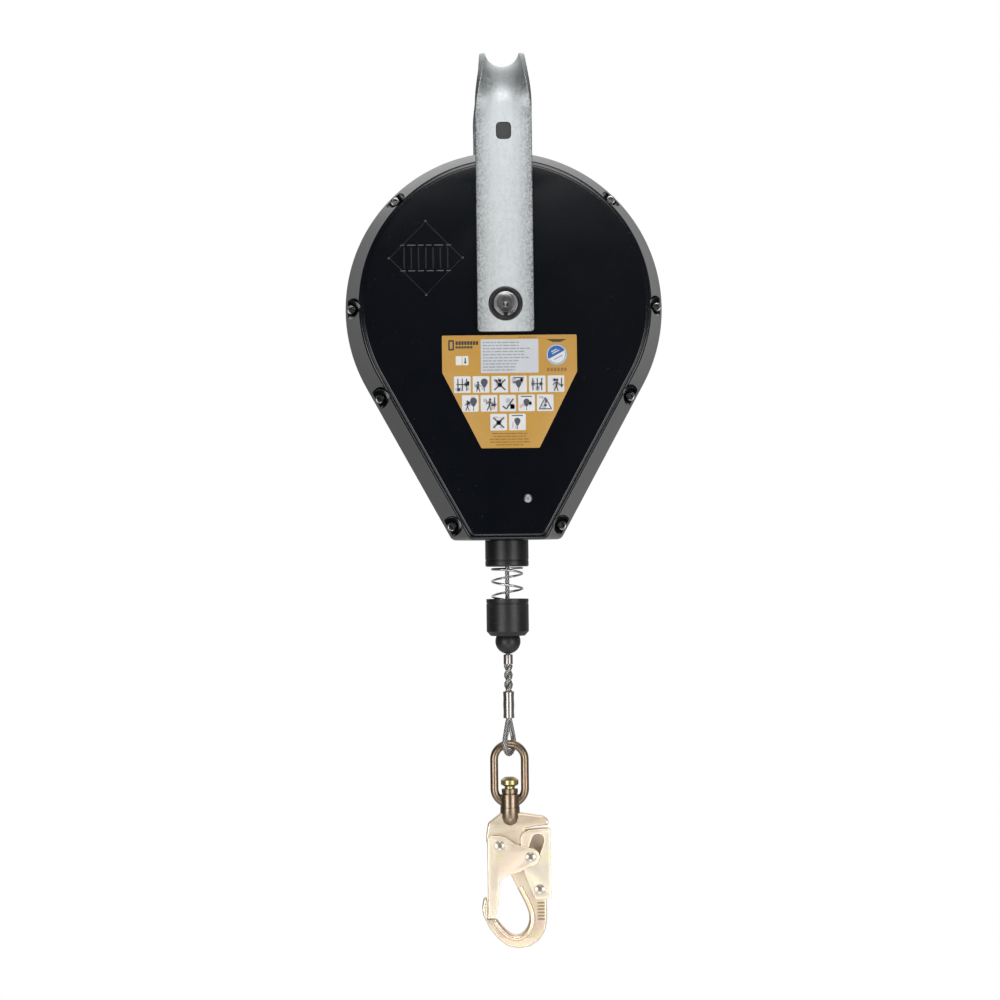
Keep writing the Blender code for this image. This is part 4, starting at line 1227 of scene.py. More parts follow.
def neck_block(half_x, near, far, low_z, high_z, corner):
    """A block whose upright edges and top edges are rounded."""
    corners = [(half_x, near), (half_x, far), (-half_x, far), (-half_x, near)]
    rings = [[(x, y, low_z) for x, y in fillet(corners, corner, steps=6)]]
    top_round = 1.4
    for k in range(6):
        a = math.pi / 2 * k / 5
        drawn = top_round * (1 - math.cos(a))
        moved = [(x - math.copysign(drawn, x), y + (drawn if y == near else -drawn)) for x, y in corners]
        level = high_z - top_round * (1 - math.sin(a))
        rings.append([(x, y, level) for x, y in fillet(moved, corner, steps=6)])
    return solid("tool", loft(rings), None)


class BuildCasing(bpy.types.Operator):
    """Mould the two shells of the casing, each with its ledge, raised panel, neck and screw holes, and the
    front one with its screw pockets
    """

    bl_idname = "lifeline.casing"
    bl_label = "Casing"

    def execute(self, context):
        look = context.scene.lifeline_casing
        self.shell("casing_front", "front_shell", -1, look)
        self.shell("casing_rear", "rear_shell", 1, look)
        return {"FINISHED"}

    def shell(self, name, node, side, look):
        quarter = [math.pi / 2 * k / 6 for k in range(7)]
        profile = [(SEAM, 0.6), (SEAM + 0.5, 0.28), (DRAFT_DEPTH - 0.6, DRAFT - 0.15)]
        profile += [(DRAFT_DEPTH + 2.9 * math.sin(a), DRAFT + 2.3 * (1 - math.cos(a))) for a in quarter]
        ledge = DRAFT + 3.9
        profile += [(48.9, ledge - 0.35), (48.98, ledge - 0.1)]
        crest = SHELL_DEPTH - 0.95
        profile += [(crest + 0.95 * math.sin(a), ledge + 1.5 * (1 - math.cos(a))) for a in quarter]
        rings = [casing_ring(side * y, inset, max(0.0, inset - DRAFT)) for y, inset in profile]
        piece = solid(name, loft(rings), plastic(), 30.0)
        inner = [(-1.0, WALL - 0.3, 4.0), (42.0, WALL + DRAFT * 42 / DRAFT_DEPTH, 4.0)]
        inner.append((DRAFT_DEPTH, WALL + DRAFT + 4.5, 7.5))
        hollow = solid("tool", loft([casing_ring(side * y, inset, b) for y, inset, b in inner]), None)
        places = rim_screw_places()
        bosses = rods([((x, -side * 2, z), (x, side * 60, z), POCKET_R + 2.2) for x, z in places], 32)
        hollow = shaped(hollow, (bosses, "DIFFERENCE"))
        near, far = sorted((side * SEAM, side * SHELL_DEPTH))
        neck = neck_block(NECK_HALF, near, far, -100, NECK_TOP, look.neck_round)
        near, far = sorted((side * 49, side * 54))
        rubbed = moulded_plastic("rubbed_plastic", (0.025, 0.028, 0.028), 0.5)
        low_z, high_z = LEG_HOLE_Z - 7.3, LEG_HOLE_Z + 7.3
        peg = upright_block(6.4, near, far, low_z, high_z, LEG_HOLE_ROUND - GAP, name + "_peg", rubbed)
        settled(peg, "root", "black_plastic")
        mouths = rods([((0, side * 40, AXLE_Z), (0, side * 60, AXLE_Z), 12.3)], 64)
        throat = rods([((0, 0, -425), (0, 0, -408), 15.3)], 64)
        steps = [(neck, "UNION"), (hollow, "DIFFERENCE")]
        screw_x, screw_z = GUIDE_SCREW
        if side < 0:
            post = rods([((screw_x, -48, screw_z), (screw_x, -20.4, screw_z), 6)], 32)
            hole = rods([((screw_x, -60, screw_z), (screw_x, -10, screw_z), 2.3)], 24)
            steps += [(post, "UNION"), (hole, "DIFFERENCE"), (self.pockets(places), "DIFFERENCE")]
        holes = rods([((x, 0, z), (x, side * 12.8, z), 2.8) for x, z in places], 20)
        steps += [(holes, "DIFFERENCE"), (mouths, "DIFFERENCE"), (throat, "DIFFERENCE")]
        settled(shaped(piece, *steps, sharp=30.0), "root", "black_plastic", node)

    @staticmethod
    def pockets(places):
        """Screw pockets with a small round at their floor."""
        work = bmesh.new()
        floor = [(0, -60), (POCKET_R, -60), (POCKET_R, -POCKET_FLOOR - 0.8)]
        floor += [(POCKET_R - 0.3, -POCKET_FLOOR - 0.25), (POCKET_R - 0.8, -POCKET_FLOOR), (0, -POCKET_FLOOR)]
        for x, z in places:
            lathe(floor, (x, 0, z), along=Y, steps=40, work=work)
        return solid("tool", work, None)


class BuildBadge(bpy.types.Operator):
    """Raise a plain badge on the front panel: upright ribs between two dashed lines, in a diamond"""

    bl_idname = "lifeline.badge"
    bl_label = "Panel Badge"

    half: bpy.props.FloatProperty(
        name="Half Diagonal", description="Centre to corner", default=32.0, min=10.0
    )
    band: bpy.props.FloatProperty(
        name="Band", description="Half height of the ribbed band", default=11.3, min=3.0
    )

    def execute(self, context):
        centre = (-69.6, -169.2)
        # The badge is black like the panel. Both of its plastics are lightened as painted highlight, for the
        # light that its raised edges catch.
        faint = moulded_plastic("badge_plastic", (0.0055, 0.006, 0.0075), 0.3)
        painted_highlight_plastic = moulded_plastic("badge_edges", (0.05, 0.052, 0.055), 0.5)
        recipe = Recipe("badge_ribs", Rib_Height=0.45 * MM, Rib_Width=1.3 * MM, Pitch=6.4 * MM, Ribs=7)
        order = recipe.add("GeometryNodeInputIndex") - (recipe.given("Ribs") - 1.0) / 2.0
        across = order * recipe.given("Pitch") + centre[0] * MM
        spot = {"X": across, "Y": -SHELL_DEPTH * MM, "Z": centre[1] * MM}
        line = recipe.add("GeometryNodeMeshLine", None, {"Count": recipe.given("Ribs")})
        place = recipe.add("ShaderNodeCombineXYZ", None, spot)
        line = recipe.add("GeometryNodeSetPosition", None, {"Geometry": line, "Position": place})
        rib = recipe.add("GeometryNodeMeshCube", None, {"Size": (1.0, 1.0, 1.0)})
        tall = (self.band * 2 - 4) * MM
        sizes = {"X": recipe.given("Rib_Width"), "Y": recipe.given("Rib_Height") * 2.0, "Z": tall}
        size = recipe.add("ShaderNodeCombineXYZ", None, sizes)
        values = {"Points": line, "Instance": rib, "Scale": size}
        shape = recipe.add("GeometryNodeInstanceOnPoints", None, values)
        settled(recipe.run("badge_ribs", shape, faint), "root", "black_plastic")
        frame_bars = bmesh.new()
        self.diamond(frame_bars, centre, self.half, 0.6)
        settled(solid("badge_frame", frame_bars, faint), "root", "black_plastic")
        marks = bmesh.new()
        face = -SHELL_DEPTH
        stud_profile = [(0, face - 0.5), (0.9, face - 0.4), (1.1, face + 0.3), (0, face + 0.3)]
        for dx, dz in ((1, 0), (0, 1), (-1, 0), (0, -1)):
            stud = (centre[0] + dx * (self.half + 0.6), 0, centre[1] + dz * (self.half + 0.6))
            lathe(stud_profile, stud, along=Y, steps=20, work=marks)
        dice = random.Random(3)
        for way in (-1, 1):
            across = -22.5
            while across < 21.0:
                wide = min(dice.uniform(3.6, 8.0), 22.5 - across)
                box = [(across, -0.45), (across + wide, -0.45), (across + wide, 0.45), (across, 0.45)]
                row_z = centre[1] + way * self.band
                prism([(centre[0] + u, row_z + v) for u, v in box], face + 0.3, face - 0.55, marks)
                across += wide + 2.4
        # Painted highlight: the dashed lines and studs are a lighter grey than the black plastic.
        settled(solid("badge_marks", marks, painted_highlight_plastic), "root", "black_plastic")
        return {"FINISHED"}

    @staticmethod
    def diamond(work, centre, reach, wide):
        """A raised diamond ring with sloped sides."""
        rings = []
        for spread, y in ((wide, 0.3), (wide * 0.55, -0.5), (-wide * 0.55, -0.5), (-wide, 0.3)):
            grow = reach + spread
            corners = [(grow, 0), (0, grow), (-grow, 0), (0, -grow)]
            spots = [(centre[0] + x, -SHELL_DEPTH + y, centre[1] + z) for x, z in corners]
            rings.append([work.verts.new(spot) for spot in spots])
        for one, two in zip(rings, rings[1:] + rings[:1]):
            for i in range(4):
                j = (i + 1) % 4
                work.faces.new((one[i], one[j], two[j], two[i]))


class BuildScrews(bpy.types.Operator):
    """Set the socket screws in their pockets and the small screw in the panel"""

    bl_idname = "lifeline.screws"
    bl_label = "Screws"

    def execute(self, context):
        profile = [(0, -14.3), (4.0, -14.3, 1.1), (4.2, -9.3, 0.3)]
        profile += [(2.5, -9.3, 0.2), (2.5, 12.2, 0.6), (0, 12.2)]
        finish = plain_steel("socket_zinc", (0.34, 0.35, 0.36), 0.24, 900.0)
        model = solid("screw_model", lathe(profile, along=Y, steps=40, edge=0.3), finish)
        socket = rods([((0, -15, 0), (0, -11.6, 0), 2.2)], 6)
        model = shaped(model, (socket, "DIFFERENCE"))
        recipe = Recipe("casing_screw_recipe", Screw=model, Turn_Seed=7)
        screw = {"Object": recipe.given("Screw"), "As Instance": True}
        screw = recipe.add("GeometryNodeObjectInfo", None, screw, output="Geometry")
        full = {"data_type": "FLOAT"}
        turn = recipe.add("FunctionNodeRandomValue", full, {"Seed": recipe.given("Turn_Seed")}, output=1)
        turn = recipe.add("ShaderNodeCombineXYZ", None, {"Y": turn * 6.28})
        values = {"Points": recipe.start(), "Instance": screw, "Rotation": turn}
        shape = recipe.add("GeometryNodeInstanceOnPoints", None, values)
        spots = [(x, 0, z) for x, z in rim_screw_places()]
        screws = recipe.run("casing_screws", shape, finish, spots)
        bpy.data.objects.remove(model, do_unlink=True)
        settled(screws, "root", "screw_zinc", *(f"casing_screw_{i}" for i in range(1, 9)))
        x, z = GUIDE_SCREW
        head = [(0, -53.0), (2.2, -52.8), (3.6, -51.6), (3.8, -50.3), (2, -50.3), (2, -5), (0, -5)]
        small = solid("panel_screw", lathe(head, (x, 0, z), along=Y, steps=40, edge=0.25), zinc_screw())
        socket = rods([((x, -54, z), (x, -51.6, z), 1.3)], 6)
        settled(shaped(small, (socket, "DIFFERENCE")), "root", "screw_zinc", "guide_screw")
        return {"FINISHED"}


# Bracket and axle


class BuildBracket(bpy.types.Operator):
    """Bend and dish the flat bar that carries the block"""

    bl_idname = "lifeline.bracket"
    bl_label = "Bracket"

    leg_y: bpy.props.FloatProperty(name="Leg", description="Middle of a leg on Y", default=53.5)
    shoulder: bpy.props.FloatProperty(name="Shoulder", description="Radius of the bends", default=36.0)
    dish: bpy.props.FloatProperty(name="Dish", description="Radius of the dished saddle", default=18.0)

    def path(self):
        """Middle of the bar from the front leg's foot over the top, with its normals."""
        top = 2.5
        foot = low("bracket", Z)
        turn_z = top - self.shoulder
        turn_y = self.leg_y - self.shoulder
        heights = [foot + 3.0 * (1 - math.cos(math.radians(a))) for a in (0, 15, 30, 45, 60, 75, 90)]
        z = foot + 6.0
        while z < turn_z - 2.0:
            heights.append(z)
            z += 3.0
        front = [(-self.leg_y, z, -1.0, 0.0) for z in heights]
        for i in range(25):
            a = math.pi / 2 * i / 24
            spot = (-turn_y - self.shoulder * math.cos(a), turn_z + self.shoulder * math.sin(a))
            front.append((*spot, -math.cos(a), math.sin(a)))
        front += [(-turn_y * (1 - i / 4), top, 0.0, 1.0) for i in range(1, 4)]
        return front + [(0.0, top, 0.0, 1.0)] + [(-y, z, -ny, nz) for y, z, ny, nz in front[::-1]]

    def execute(self, context):
        look = context.scene.lifeline_bracket
        rings = []
        foot = low("bracket", Z)
        for y, z, ny, nz in self.path():
            rise = min(1.0, max(0.0, (z + 50.0) / 52.5))
            bend = rise * rise * (3 - 2 * rise) / self.dish
            half = 25.0
            up = z - foot
            if up < 3.0:
                half -= 3.0 - math.sqrt(max(0.0, 9.0 - (3.0 - up) ** 2))
            thick = 2.5 - 0.6 * max(0.0, 1 - up / 0.8)
            ring = []
            for u, v in self.section(half, thick, look.edge_round):
                turn = u * bend
                side = math.sin(turn) / bend if bend > 1e-6 else u
                lift = (1 - math.cos(turn)) / bend if bend > 1e-6 else 0.0
                out = lift + v * math.cos(turn)
                ring.append((side - v * math.sin(turn), y + ny * out, z + nz * out))
            rings.append(ring)
        bar = solid("hanging_bracket", loft(rings), galvanised(tuple(look.shade), look.spangle), 40.0)
        hole = rods([((0, -70, AXLE_Z), (0, 70, AXLE_Z), 15.15)], 72)
        window = upright_block(6.75, -70, 70, LEG_HOLE_Z - 7.65, LEG_HOLE_Z + 7.65, LEG_HOLE_ROUND)
        bar = shaped(bar, (hole, "DIFFERENCE"), (window, "DIFFERENCE"), sharp=40.0)
        settled(bar, "root", "galvanised", "bracket")
        return {"FINISHED"}

    @staticmethod
    def section(half, thick, edge):
        """The bar's section as (across, through) pairs, with rounded edges and points along its flats."""
        corners = [(half, -thick), (half, thick), (-half, thick), (-half, -thick)]
        found = []
        line = fillet(corners, min(edge, thick * 0.9), steps=4)
        for one, two in zip(line, line[1:] + line[:1]):
            found.append(one)
            long = abs(two[0] - one[0])
            if long > 20:
                found += [(one[0] + (two[0] - one[0]) * k / 20, one[1]) for k in range(1, 20)]
        return found


class BuildAxleEnds(bpy.types.Operator):
    """Turn the axle with its collars and set its retaining rings"""

    bl_idname = "lifeline.axle"
    bl_label = "Axle Ends"

    def execute(self, context):
        half = AXLE_HALF
        centre = (0, 0, AXLE_Z)
        groove = AXLE_R - 0.8
        right = [(AXLE_R, 57.3, 0), (groove, 57.3, 0), (groove, 58.9, 0)]
        right += [(AXLE_R, 58.9, 0), (AXLE_R, half, 0.7)]
        right += [(3.0, half, 0.2), (2.2, half - 1.2, 0.1), (0, half - 3.2)]
        steel = turned_metal("turned_steel", (0.27, 0.27, 0.27), 0.24, centre, Y)
        left = [(p[0], -p[1], *p[2:]) for p in right[::-1]]
        axle = solid("axle", lathe(left + right, centre, Y, 72, 0.2), steel)
        settled(axle, "root", "axle_steel", "main_axle")
        dark = turned_metal("dark_turned_steel", (0.06, 0.06, 0.063), 0.32, centre, Y)
        for name, side in (("front", -1), ("rear", 1)):
            bush = [(AXLE_R + GAP, 46.4), (12.0, 46.4), (12.0, 50.9), (14.85, 50.9), (14.85, 57.0, 1.0)]
            bush += [(12.4, 57.0, 0.3), (11.9, 56.5, 0.2), (10.9, 56.5, 0.2), (10.6, 57.0, 0.2)]
            bush.append((AXLE_R + GAP, 57.0))
            work = lathe([(p[0], side * p[1], *p[2:]) for p in bush], centre, Y, 72, 0.25)
            settled(solid("collar_" + name, work, dark), "root", "dark_steel", "axle_collar_" + name)
            self.ring(name, side, groove + 0.2)
        return {"FINISHED"}

    @staticmethod
    def ring(name, side, inner):
        """An open ring with an eye at each end for the pliers."""
        outer = 10.4
        lean = 17.0
        outline = arc((0, AXLE_Z), outer, -90 + lean + 8, 270 - lean - 8, 72)
        ends = []
        for degrees in (270 - lean, -90 + lean):
            a = math.radians(degrees)
            ends.append(((inner + 1.75) * math.cos(a), AXLE_Z + (inner + 1.75) * math.sin(a)))
        turn = -90 + lean
        outline += arc(ends[0], 1.7, 270 - lean - 150, 270 - lean + 60, 10)
        outline += arc((0, AXLE_Z), inner, 270 - lean - 6, turn + 6, 60)
        outline += arc(ends[1], 1.7, turn - 60, turn + 150, 10)
        holes = [arc(end, 0.7, 0, 345, 15) for end in ends]
        near, far = sorted((side * 57.5, side * 58.6))
        ring = plate("circlip_" + name, outline, near, far, spring_wire(), holes, edge=0.2)
        settled(ring, "root", "spring_steel", "retaining_ring_" + name)


# Label


class Print:
    """Flat printed shapes on the front panel, gathered in one mesh for each ink."""

    def __init__(self, face):
        self.face = face
        self.inks = {}

    def shape(self, ink, points, level):
        """One printed shape from (x, z) points. Level stacks the inks in front of each other."""
        work = self.inks.setdefault(ink, bmesh.new())
        prism(points, self.face + 0.05, self.face - 0.03 * level, work)

    def bar(self, ink, x, z, wide, tall, level=2):
        box = [(x, z), (x + wide, z), (x + wide, z + tall), (x, z + tall)]
        self.shape(ink, box, level)

    def disc(self, ink, x, z, radius, level=2, steps=28):
        self.shape(ink, arc((x, z), radius, 0, 360 - 360 / steps, steps - 1), level)

    def stroke(self, ink, start, end, wide, level=3):
        one, two = Vector(start), Vector(end)
        side = (two - one).orthogonal().normalized() * wide / 2
        self.shape(ink, [tuple(p) for p in (one + side, two + side, two - side, one - side)], level)

    def rounded(self, ink, x, z, wide, tall, corner, level=1):
        corners = [(x, z), (x + wide, z), (x + wide, z + tall), (x, z + tall)]
        self.shape(ink, fillet(corners, corner), level)

    def lines(self, ink, dice, x, z, wide, rows, pitch, tall, centred=False):
        """Rows of plain bars, broken into word lengths."""
        for row in range(rows):
            reach = wide * dice.uniform(0.62, 1.0)
            start = x + (wide - reach) / 2 if centred else x
            run = 0.0
            while run < reach - 1.2:
                word = min(dice.uniform(1.6, 6.0), reach - run)
                self.bar(ink, start + run, z - row * pitch, word, tall)
                run += word + 0.8


def person(sheet, x, z, size, lean=0.0):
    """A plain standing figure of a disc and strokes."""
    hip = (x + lean * 0.2, z + size * 0.42)
    neck = (x + lean * 0.5, z + size * 0.74)
    sheet.disc("coal", x + lean * 0.62, z + size * 0.87, size * 0.11, 3, 14)
    sheet.stroke("coal", hip, neck, size * 0.17)
    for way in (-1, 1):
        sheet.stroke("coal", hip, (x + way * size * 0.16, z), size * 0.09)
        sheet.stroke("coal", neck, (x + way * size * 0.27, z + size * 0.5), size * 0.07)


def block_sign(sheet, x, z, size):
    """The block's own teardrop with its line."""
    foot = [(x - size * 0.07, z + size * 0.3), (x + size * 0.07, z + size * 0.3)]
    sheet.shape("coal", arc((x, z + size * 0.66), size * 0.24, -30, 210, 14) + foot, 3)
    sheet.stroke("coal", (x, z), (x, z + size * 0.32), size * 0.05)


def arrow(sheet, start, end, size):
    one, two = Vector(start), Vector(end)
    way = (two - one).normalized()
    side = way.orthogonal()
    sheet.stroke("coal", start, tuple(two - way * size * 0.2), size * 0.08)
    base = two - way * size * 0.26
    sheet.shape("coal", [tuple(two), tuple(base + side * size * 0.15), tuple(base - side * size * 0.15)], 3)


def picture(sheet, kind, x, z, size):
    """One of the plain pictures in a tile centred at x and with its foot at z."""

    def at(across, up):
        return (x + size * across, z + size * up)

    def line(start, end, wide):
        sheet.stroke("coal", at(*start), at(*end), size * wide)

    if kind == 0:
        person(sheet, x - size * 0.2, z, size * 0.72)
        block_sign(sheet, x + size * 0.22, z, size)
    elif kind == 1:
        line((-0.38, 0.94), (0.38, 0.94), 0.07)
        block_sign(sheet, x, z, size * 0.88)
    elif kind == 2:
        line((-0.38, 0.1), (0.38, 0.82), 0.1)
        line((-0.38, 0.82), (0.38, 0.1), 0.1)
        sheet.disc("coal", x, z + size * 0.46, size * 0.17, 3, 18)
    elif kind == 3:
        person(sheet, x, z, size * 0.86, size * 0.12)
        arrow(sheet, at(0.38, 0.9), at(0.38, 0.2), size)
    elif kind == 4:
        for share in (-0.3, 0.0, 0.3):
            line((share, 0.06), (share, 0.9), 0.08)
        arrow(sheet, at(-0.4, 0.5), at(0.42, 0.5), size)
    elif kind == 5:
        corners = [(-0.42, 0.08), (0.42, 0.08), (0.0, 0.86)]
        for one, two in zip(corners, corners[1:] + corners[:1]):
            line(one, two, 0.07)
        sheet.disc("coal", x, z + size * 0.33, size * 0.1, 3, 14)
    else:
        line((-0.36, 0.3), (-0.1, 0.1), 0.1)
        line((-0.1, 0.1), (0.38, 0.8), 0.1)


class BuildLabel(bpy.types.Operator):
    """Stick the rating label on, with plain bars and pictures in place of words and marks"""

    bl_idname = "lifeline.label"
    bl_label = "Rating Label"

    def execute(self, context):
        look = context.scene.lifeline_label
        left, right = low("rating_label", X), high("rating_label", X)
        top, end = high("rating_label", Z), low("rating_label", Z)
        centre = (left + right) / 2
        foot = 25.6
        shoulder = -270.7
        outline = [(left, top), (right, top), (right, shoulder), (centre + foot, end)]
        outline += [(centre - foot, end), (left, shoulder)]
        colour = tuple(look.shade)
        ground = printed_vinyl("label_ground", colour, 0.42, 1.0)
        face = low("rating_label", Y)
        back = high("rating_label", Y)
        base = plate("label_base", fillet(outline, 1.4), face, back, ground, edge=0.1, steps=1)
        settled(base, "root", "label_vinyl", "rating_label")
        sheet = Print(face)
        dice = random.Random(look.seed)
        self.words(sheet, dice, left, right, top, centre)
        self.tiles(sheet, dice, centre - 0.6, top - 36.0)
        sheet.lines("deep", dice, centre - 19.5, end + 12.4, 38, 5, 2.5, 0.9, centred=True)
        inks = {
            "white": ((0.62, 0.63, 0.63), 0.45),
            "paper": ((0.5, 0.52, 0.55), 0.45),
            "mist": ((0.4, 0.42, 0.47), 0.45),
            "rose": ((0.5, 0.4, 0.42), 0.45),
            "slate": ((0.2, 0.27, 0.36), 0.45),
            "gold": (tuple(look.shade)[:3], 0.42),
            "dark": ((0.02, 0.018, 0.02), 0.5),
            "coal": ((0.06, 0.06, 0.08), 0.5),
            "umber": ((0.06, 0.035, 0.015), 0.5),
            "grey": ((0.27, 0.28, 0.29), 0.5),
            "deep": ((0.25, 0.12, 0.025), 0.5),
            "blue": ((0.025, 0.11, 0.33), 0.4),
        }
        for ink, work in sheet.inks.items():
            shade, rough = inks[ink]
            made = solid("label_" + ink, work, printed_vinyl("ink_" + ink, shade, rough, 0.5))
            settled(made, "root", "label_vinyl")
        return {"FINISHED"}

    @staticmethod
    def words(sheet, dice, left, right, top, centre):
        """The text panel, the heading, the open book, the round sign and the small lines."""
        sheet.rounded("paper", centre - 25.3, top - 33.4, 50.8, 29.8, 0.8)
        sheet.lines("grey", dice, centre - 23.6, top - 7.0, 45, 10, 2.7, 1.05)
        sheet.rounded("dark", left + 5.6, top - 13.2, 5.0, 9.2, 0.9)
        sheet.rounded("gold", left + 6.9, top - 11.8, 2.4, 6.4, 0.5, 2)
        for row, (count, tall) in enumerate(((8, 3.3), (6, 2.0))):
            for k in range(count):
                sheet.bar("dark", left + 12.0 + k * 2.55, top - 8.4 - row * 3.1, 2.05, tall, 1)
        for way in (0, 1):
            sheet.rounded("white", left + 12.0 + way * 5.8, top - 26.2, 5.3, 8.0, 0.6)
        sheet.bar("dark", left + 19.8, top - 23.4, 1.1, 3.6)
        tip = [(left + 18.9, top - 23.2), (left + 21.8, top - 23.2), (left + 20.35, top - 25.2)]
        sheet.shape("dark", tip, 2)
        x, z = right - 17.8, top - 17.7
        sheet.disc("slate", x, z, 9.4, 1)
        sheet.disc("white", x, z, 8.7, 2)
        sheet.shape("blue", arc((x, z), 8.1, 28, 208, 28), 3)
        sheet.shape("slate", arc((x, z), 8.1, 214, 382, 28) + arc((x, z), 7.4, 382, 214, 28), 3)
        for k, wide in ((0, 5.4), (1, 7.0)):
            start = (x - 4.8 + k * 0.9, z + 0.2 - k * 1.6 + 2.2)
            sheet.stroke("white", start, (start[0] + wide * 0.88, start[1] + wide * 0.47), 0.8, 4)
        sheet.stroke("slate", (x - 2.4, z - 4.4), (x + 5.0, z - 0.5), 0.9, 3)
        wedge = [(x - 9.2, z + 13.8), (x + 9.2, z + 13.8), (x + 3.4, z + 11.2), (x - 3.4, z + 11.2)]
        sheet.shape("umber", wedge, 1)
        for k in range(6):
            sheet.bar("deep", x - 8.6 + k * 3.0, z - 14.6, 2.1, 3.0, 1)
        sheet.lines("deep", dice, centre + 8, top - 2.4, 17, 1, 1.0, 0.8)

    @staticmethod
    def tiles(sheet, dice, centre, top):
        """Rows of six, five and two picture tiles."""
        size = 14.6
        kinds = iter((4, 0, 2, 1, 4, 3, 0, 3, 6, 1, 5, 2, 1))
        for row, count in enumerate((6, 5, 2)):
            foot = top - size - row * 16.7
            for k in range(count):
                x = centre + (k - (count - 1) / 2) * 16.5 - (1.4 if row else 0.0)
                sheet.rounded("white", x - size / 2, foot, size, size, 0.9)
                for _ in range(5):
                    wide, tall = dice.uniform(1.2, 4.2), dice.uniform(1.4, 5.5)
                    across, rise = dice.uniform(0, size - 2 - wide), dice.uniform(0, size - 2 - tall)
                    ink = dice.choice(("mist", "mist", "rose"))
                    sheet.rounded(ink, x - size / 2 + 1 + across, foot + 1 + rise, wide, tall, 0.5, 2)
                picture(sheet, next(kinds), x, foot + 0.9, size * 0.88)


# Outlet, buffer and stop


class BuildOutlet(bpy.types.Operator):
    """Turn the rope nozzle, the buffer cup and the stop ball, and wind the buffer spring"""

    bl_idname = "lifeline.outlet"
    bl_label = "Outlet and Buffer"

    turns: bpy.props.FloatProperty(
        name="Turns", description="Turns of the buffer spring", default=5.25, min=2.0
    )

    def execute(self, context):
        nozzle = [(18, -409.8), (18, -413.6), (15, -413.6), (15, NOZZLE_TOP), (NOZZLE_R, NOZZLE_TOP, 0.5)]
        nozzle += [(NOZZLE_R, NOZZLE_END + 6.4, 0.2), (NOZZLE_R - 0.35, NOZZLE_END + 6.1, 0.1)]
        nozzle += [(NOZZLE_R - 0.35, NOZZLE_END + 5.4, 0.1), (NOZZLE_R, NOZZLE_END + 5.1, 0.2)]
        nozzle += [(NOZZLE_R, NOZZLE_END, 1.8), (15.2, NOZZLE_END, 0.3), (14.8, NOZZLE_END + 0.6, 0.2)]
        nozzle += [(12.2, NOZZLE_END + 0.6, 0.2), (11.8, NOZZLE_END, 0.3), (7.5, NOZZLE_END, 1.5)]
        nozzle += [(4.5, NOZZLE_END + 5, 2.0), (4.5, -409.8)]
        dull = moulded_plastic("nozzle_plastic", (0.002, 0.0022, 0.0025), 0.4)
        nozzle = solid("outlet_nozzle", lathe(nozzle, edge=0.4, steps=96), dull)
        settled(nozzle, "root", "black_plastic", "rope_nozzle")
        seat_r = BALL_R + 0.4
        below = CUP_END - BALL_Z
        seat = []
        for i in range(9):
            rise = below + (10.2 - below) * i / 8
            seat.append((math.sqrt(seat_r * seat_r - rise * rise), BALL_Z + rise, 0))
        inner = CUP_R - 3
        cup = seat + [(seat[-1][0], CUP_FLOOR, 0), (inner, CUP_FLOOR, 1.0), (inner, CUP_TOP, 1.0)]
        cup += [(CUP_R, CUP_TOP, 1.3), (CUP_R, CUP_TOP - 3.2, 0.2)]
        cup += [(CUP_R - 0.4, CUP_TOP - 3.6, 0.2), (CUP_R - 0.4, CUP_TOP - 4.2, 0.2)]
        cup += [(CUP_R, CUP_TOP - 4.6, 0.2), (CUP_R, CUP_END + 4, 3.0), (CUP_R - 3.6, CUP_END, 1.6)]
        cup = solid("stop_cup", lathe(cup, steps=96), buffer_rubber(), 40.0)
        settled(cup, "buffer", "buffer_rubber", "buffer_cup")
        bore = 2.4
        pole = math.degrees(math.acos(bore / BALL_R))
        ball = lathe(arc((0, BALL_Z), BALL_R, pole, -pole, 48), steps=72)
        settled(solid("stop_bead", ball, buffer_rubber(), 50.0), "line_end", "buffer_rubber", "stop_ball")
        top = NOZZLE_END - GAP - 1.0
        end = CUP_FLOOR + GAP + 1.0
        spring = coil("stop_spring", spring_wire(), 13.5, 1.0, self.turns, top, end, (0, 0, 0), dead=0.14)
        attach(spring, "line_end")
        1 - 12.0 / (top - end)
        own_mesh(spring)
        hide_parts("buffer_spring")
        return {"FINISHED"}


# Link and hook


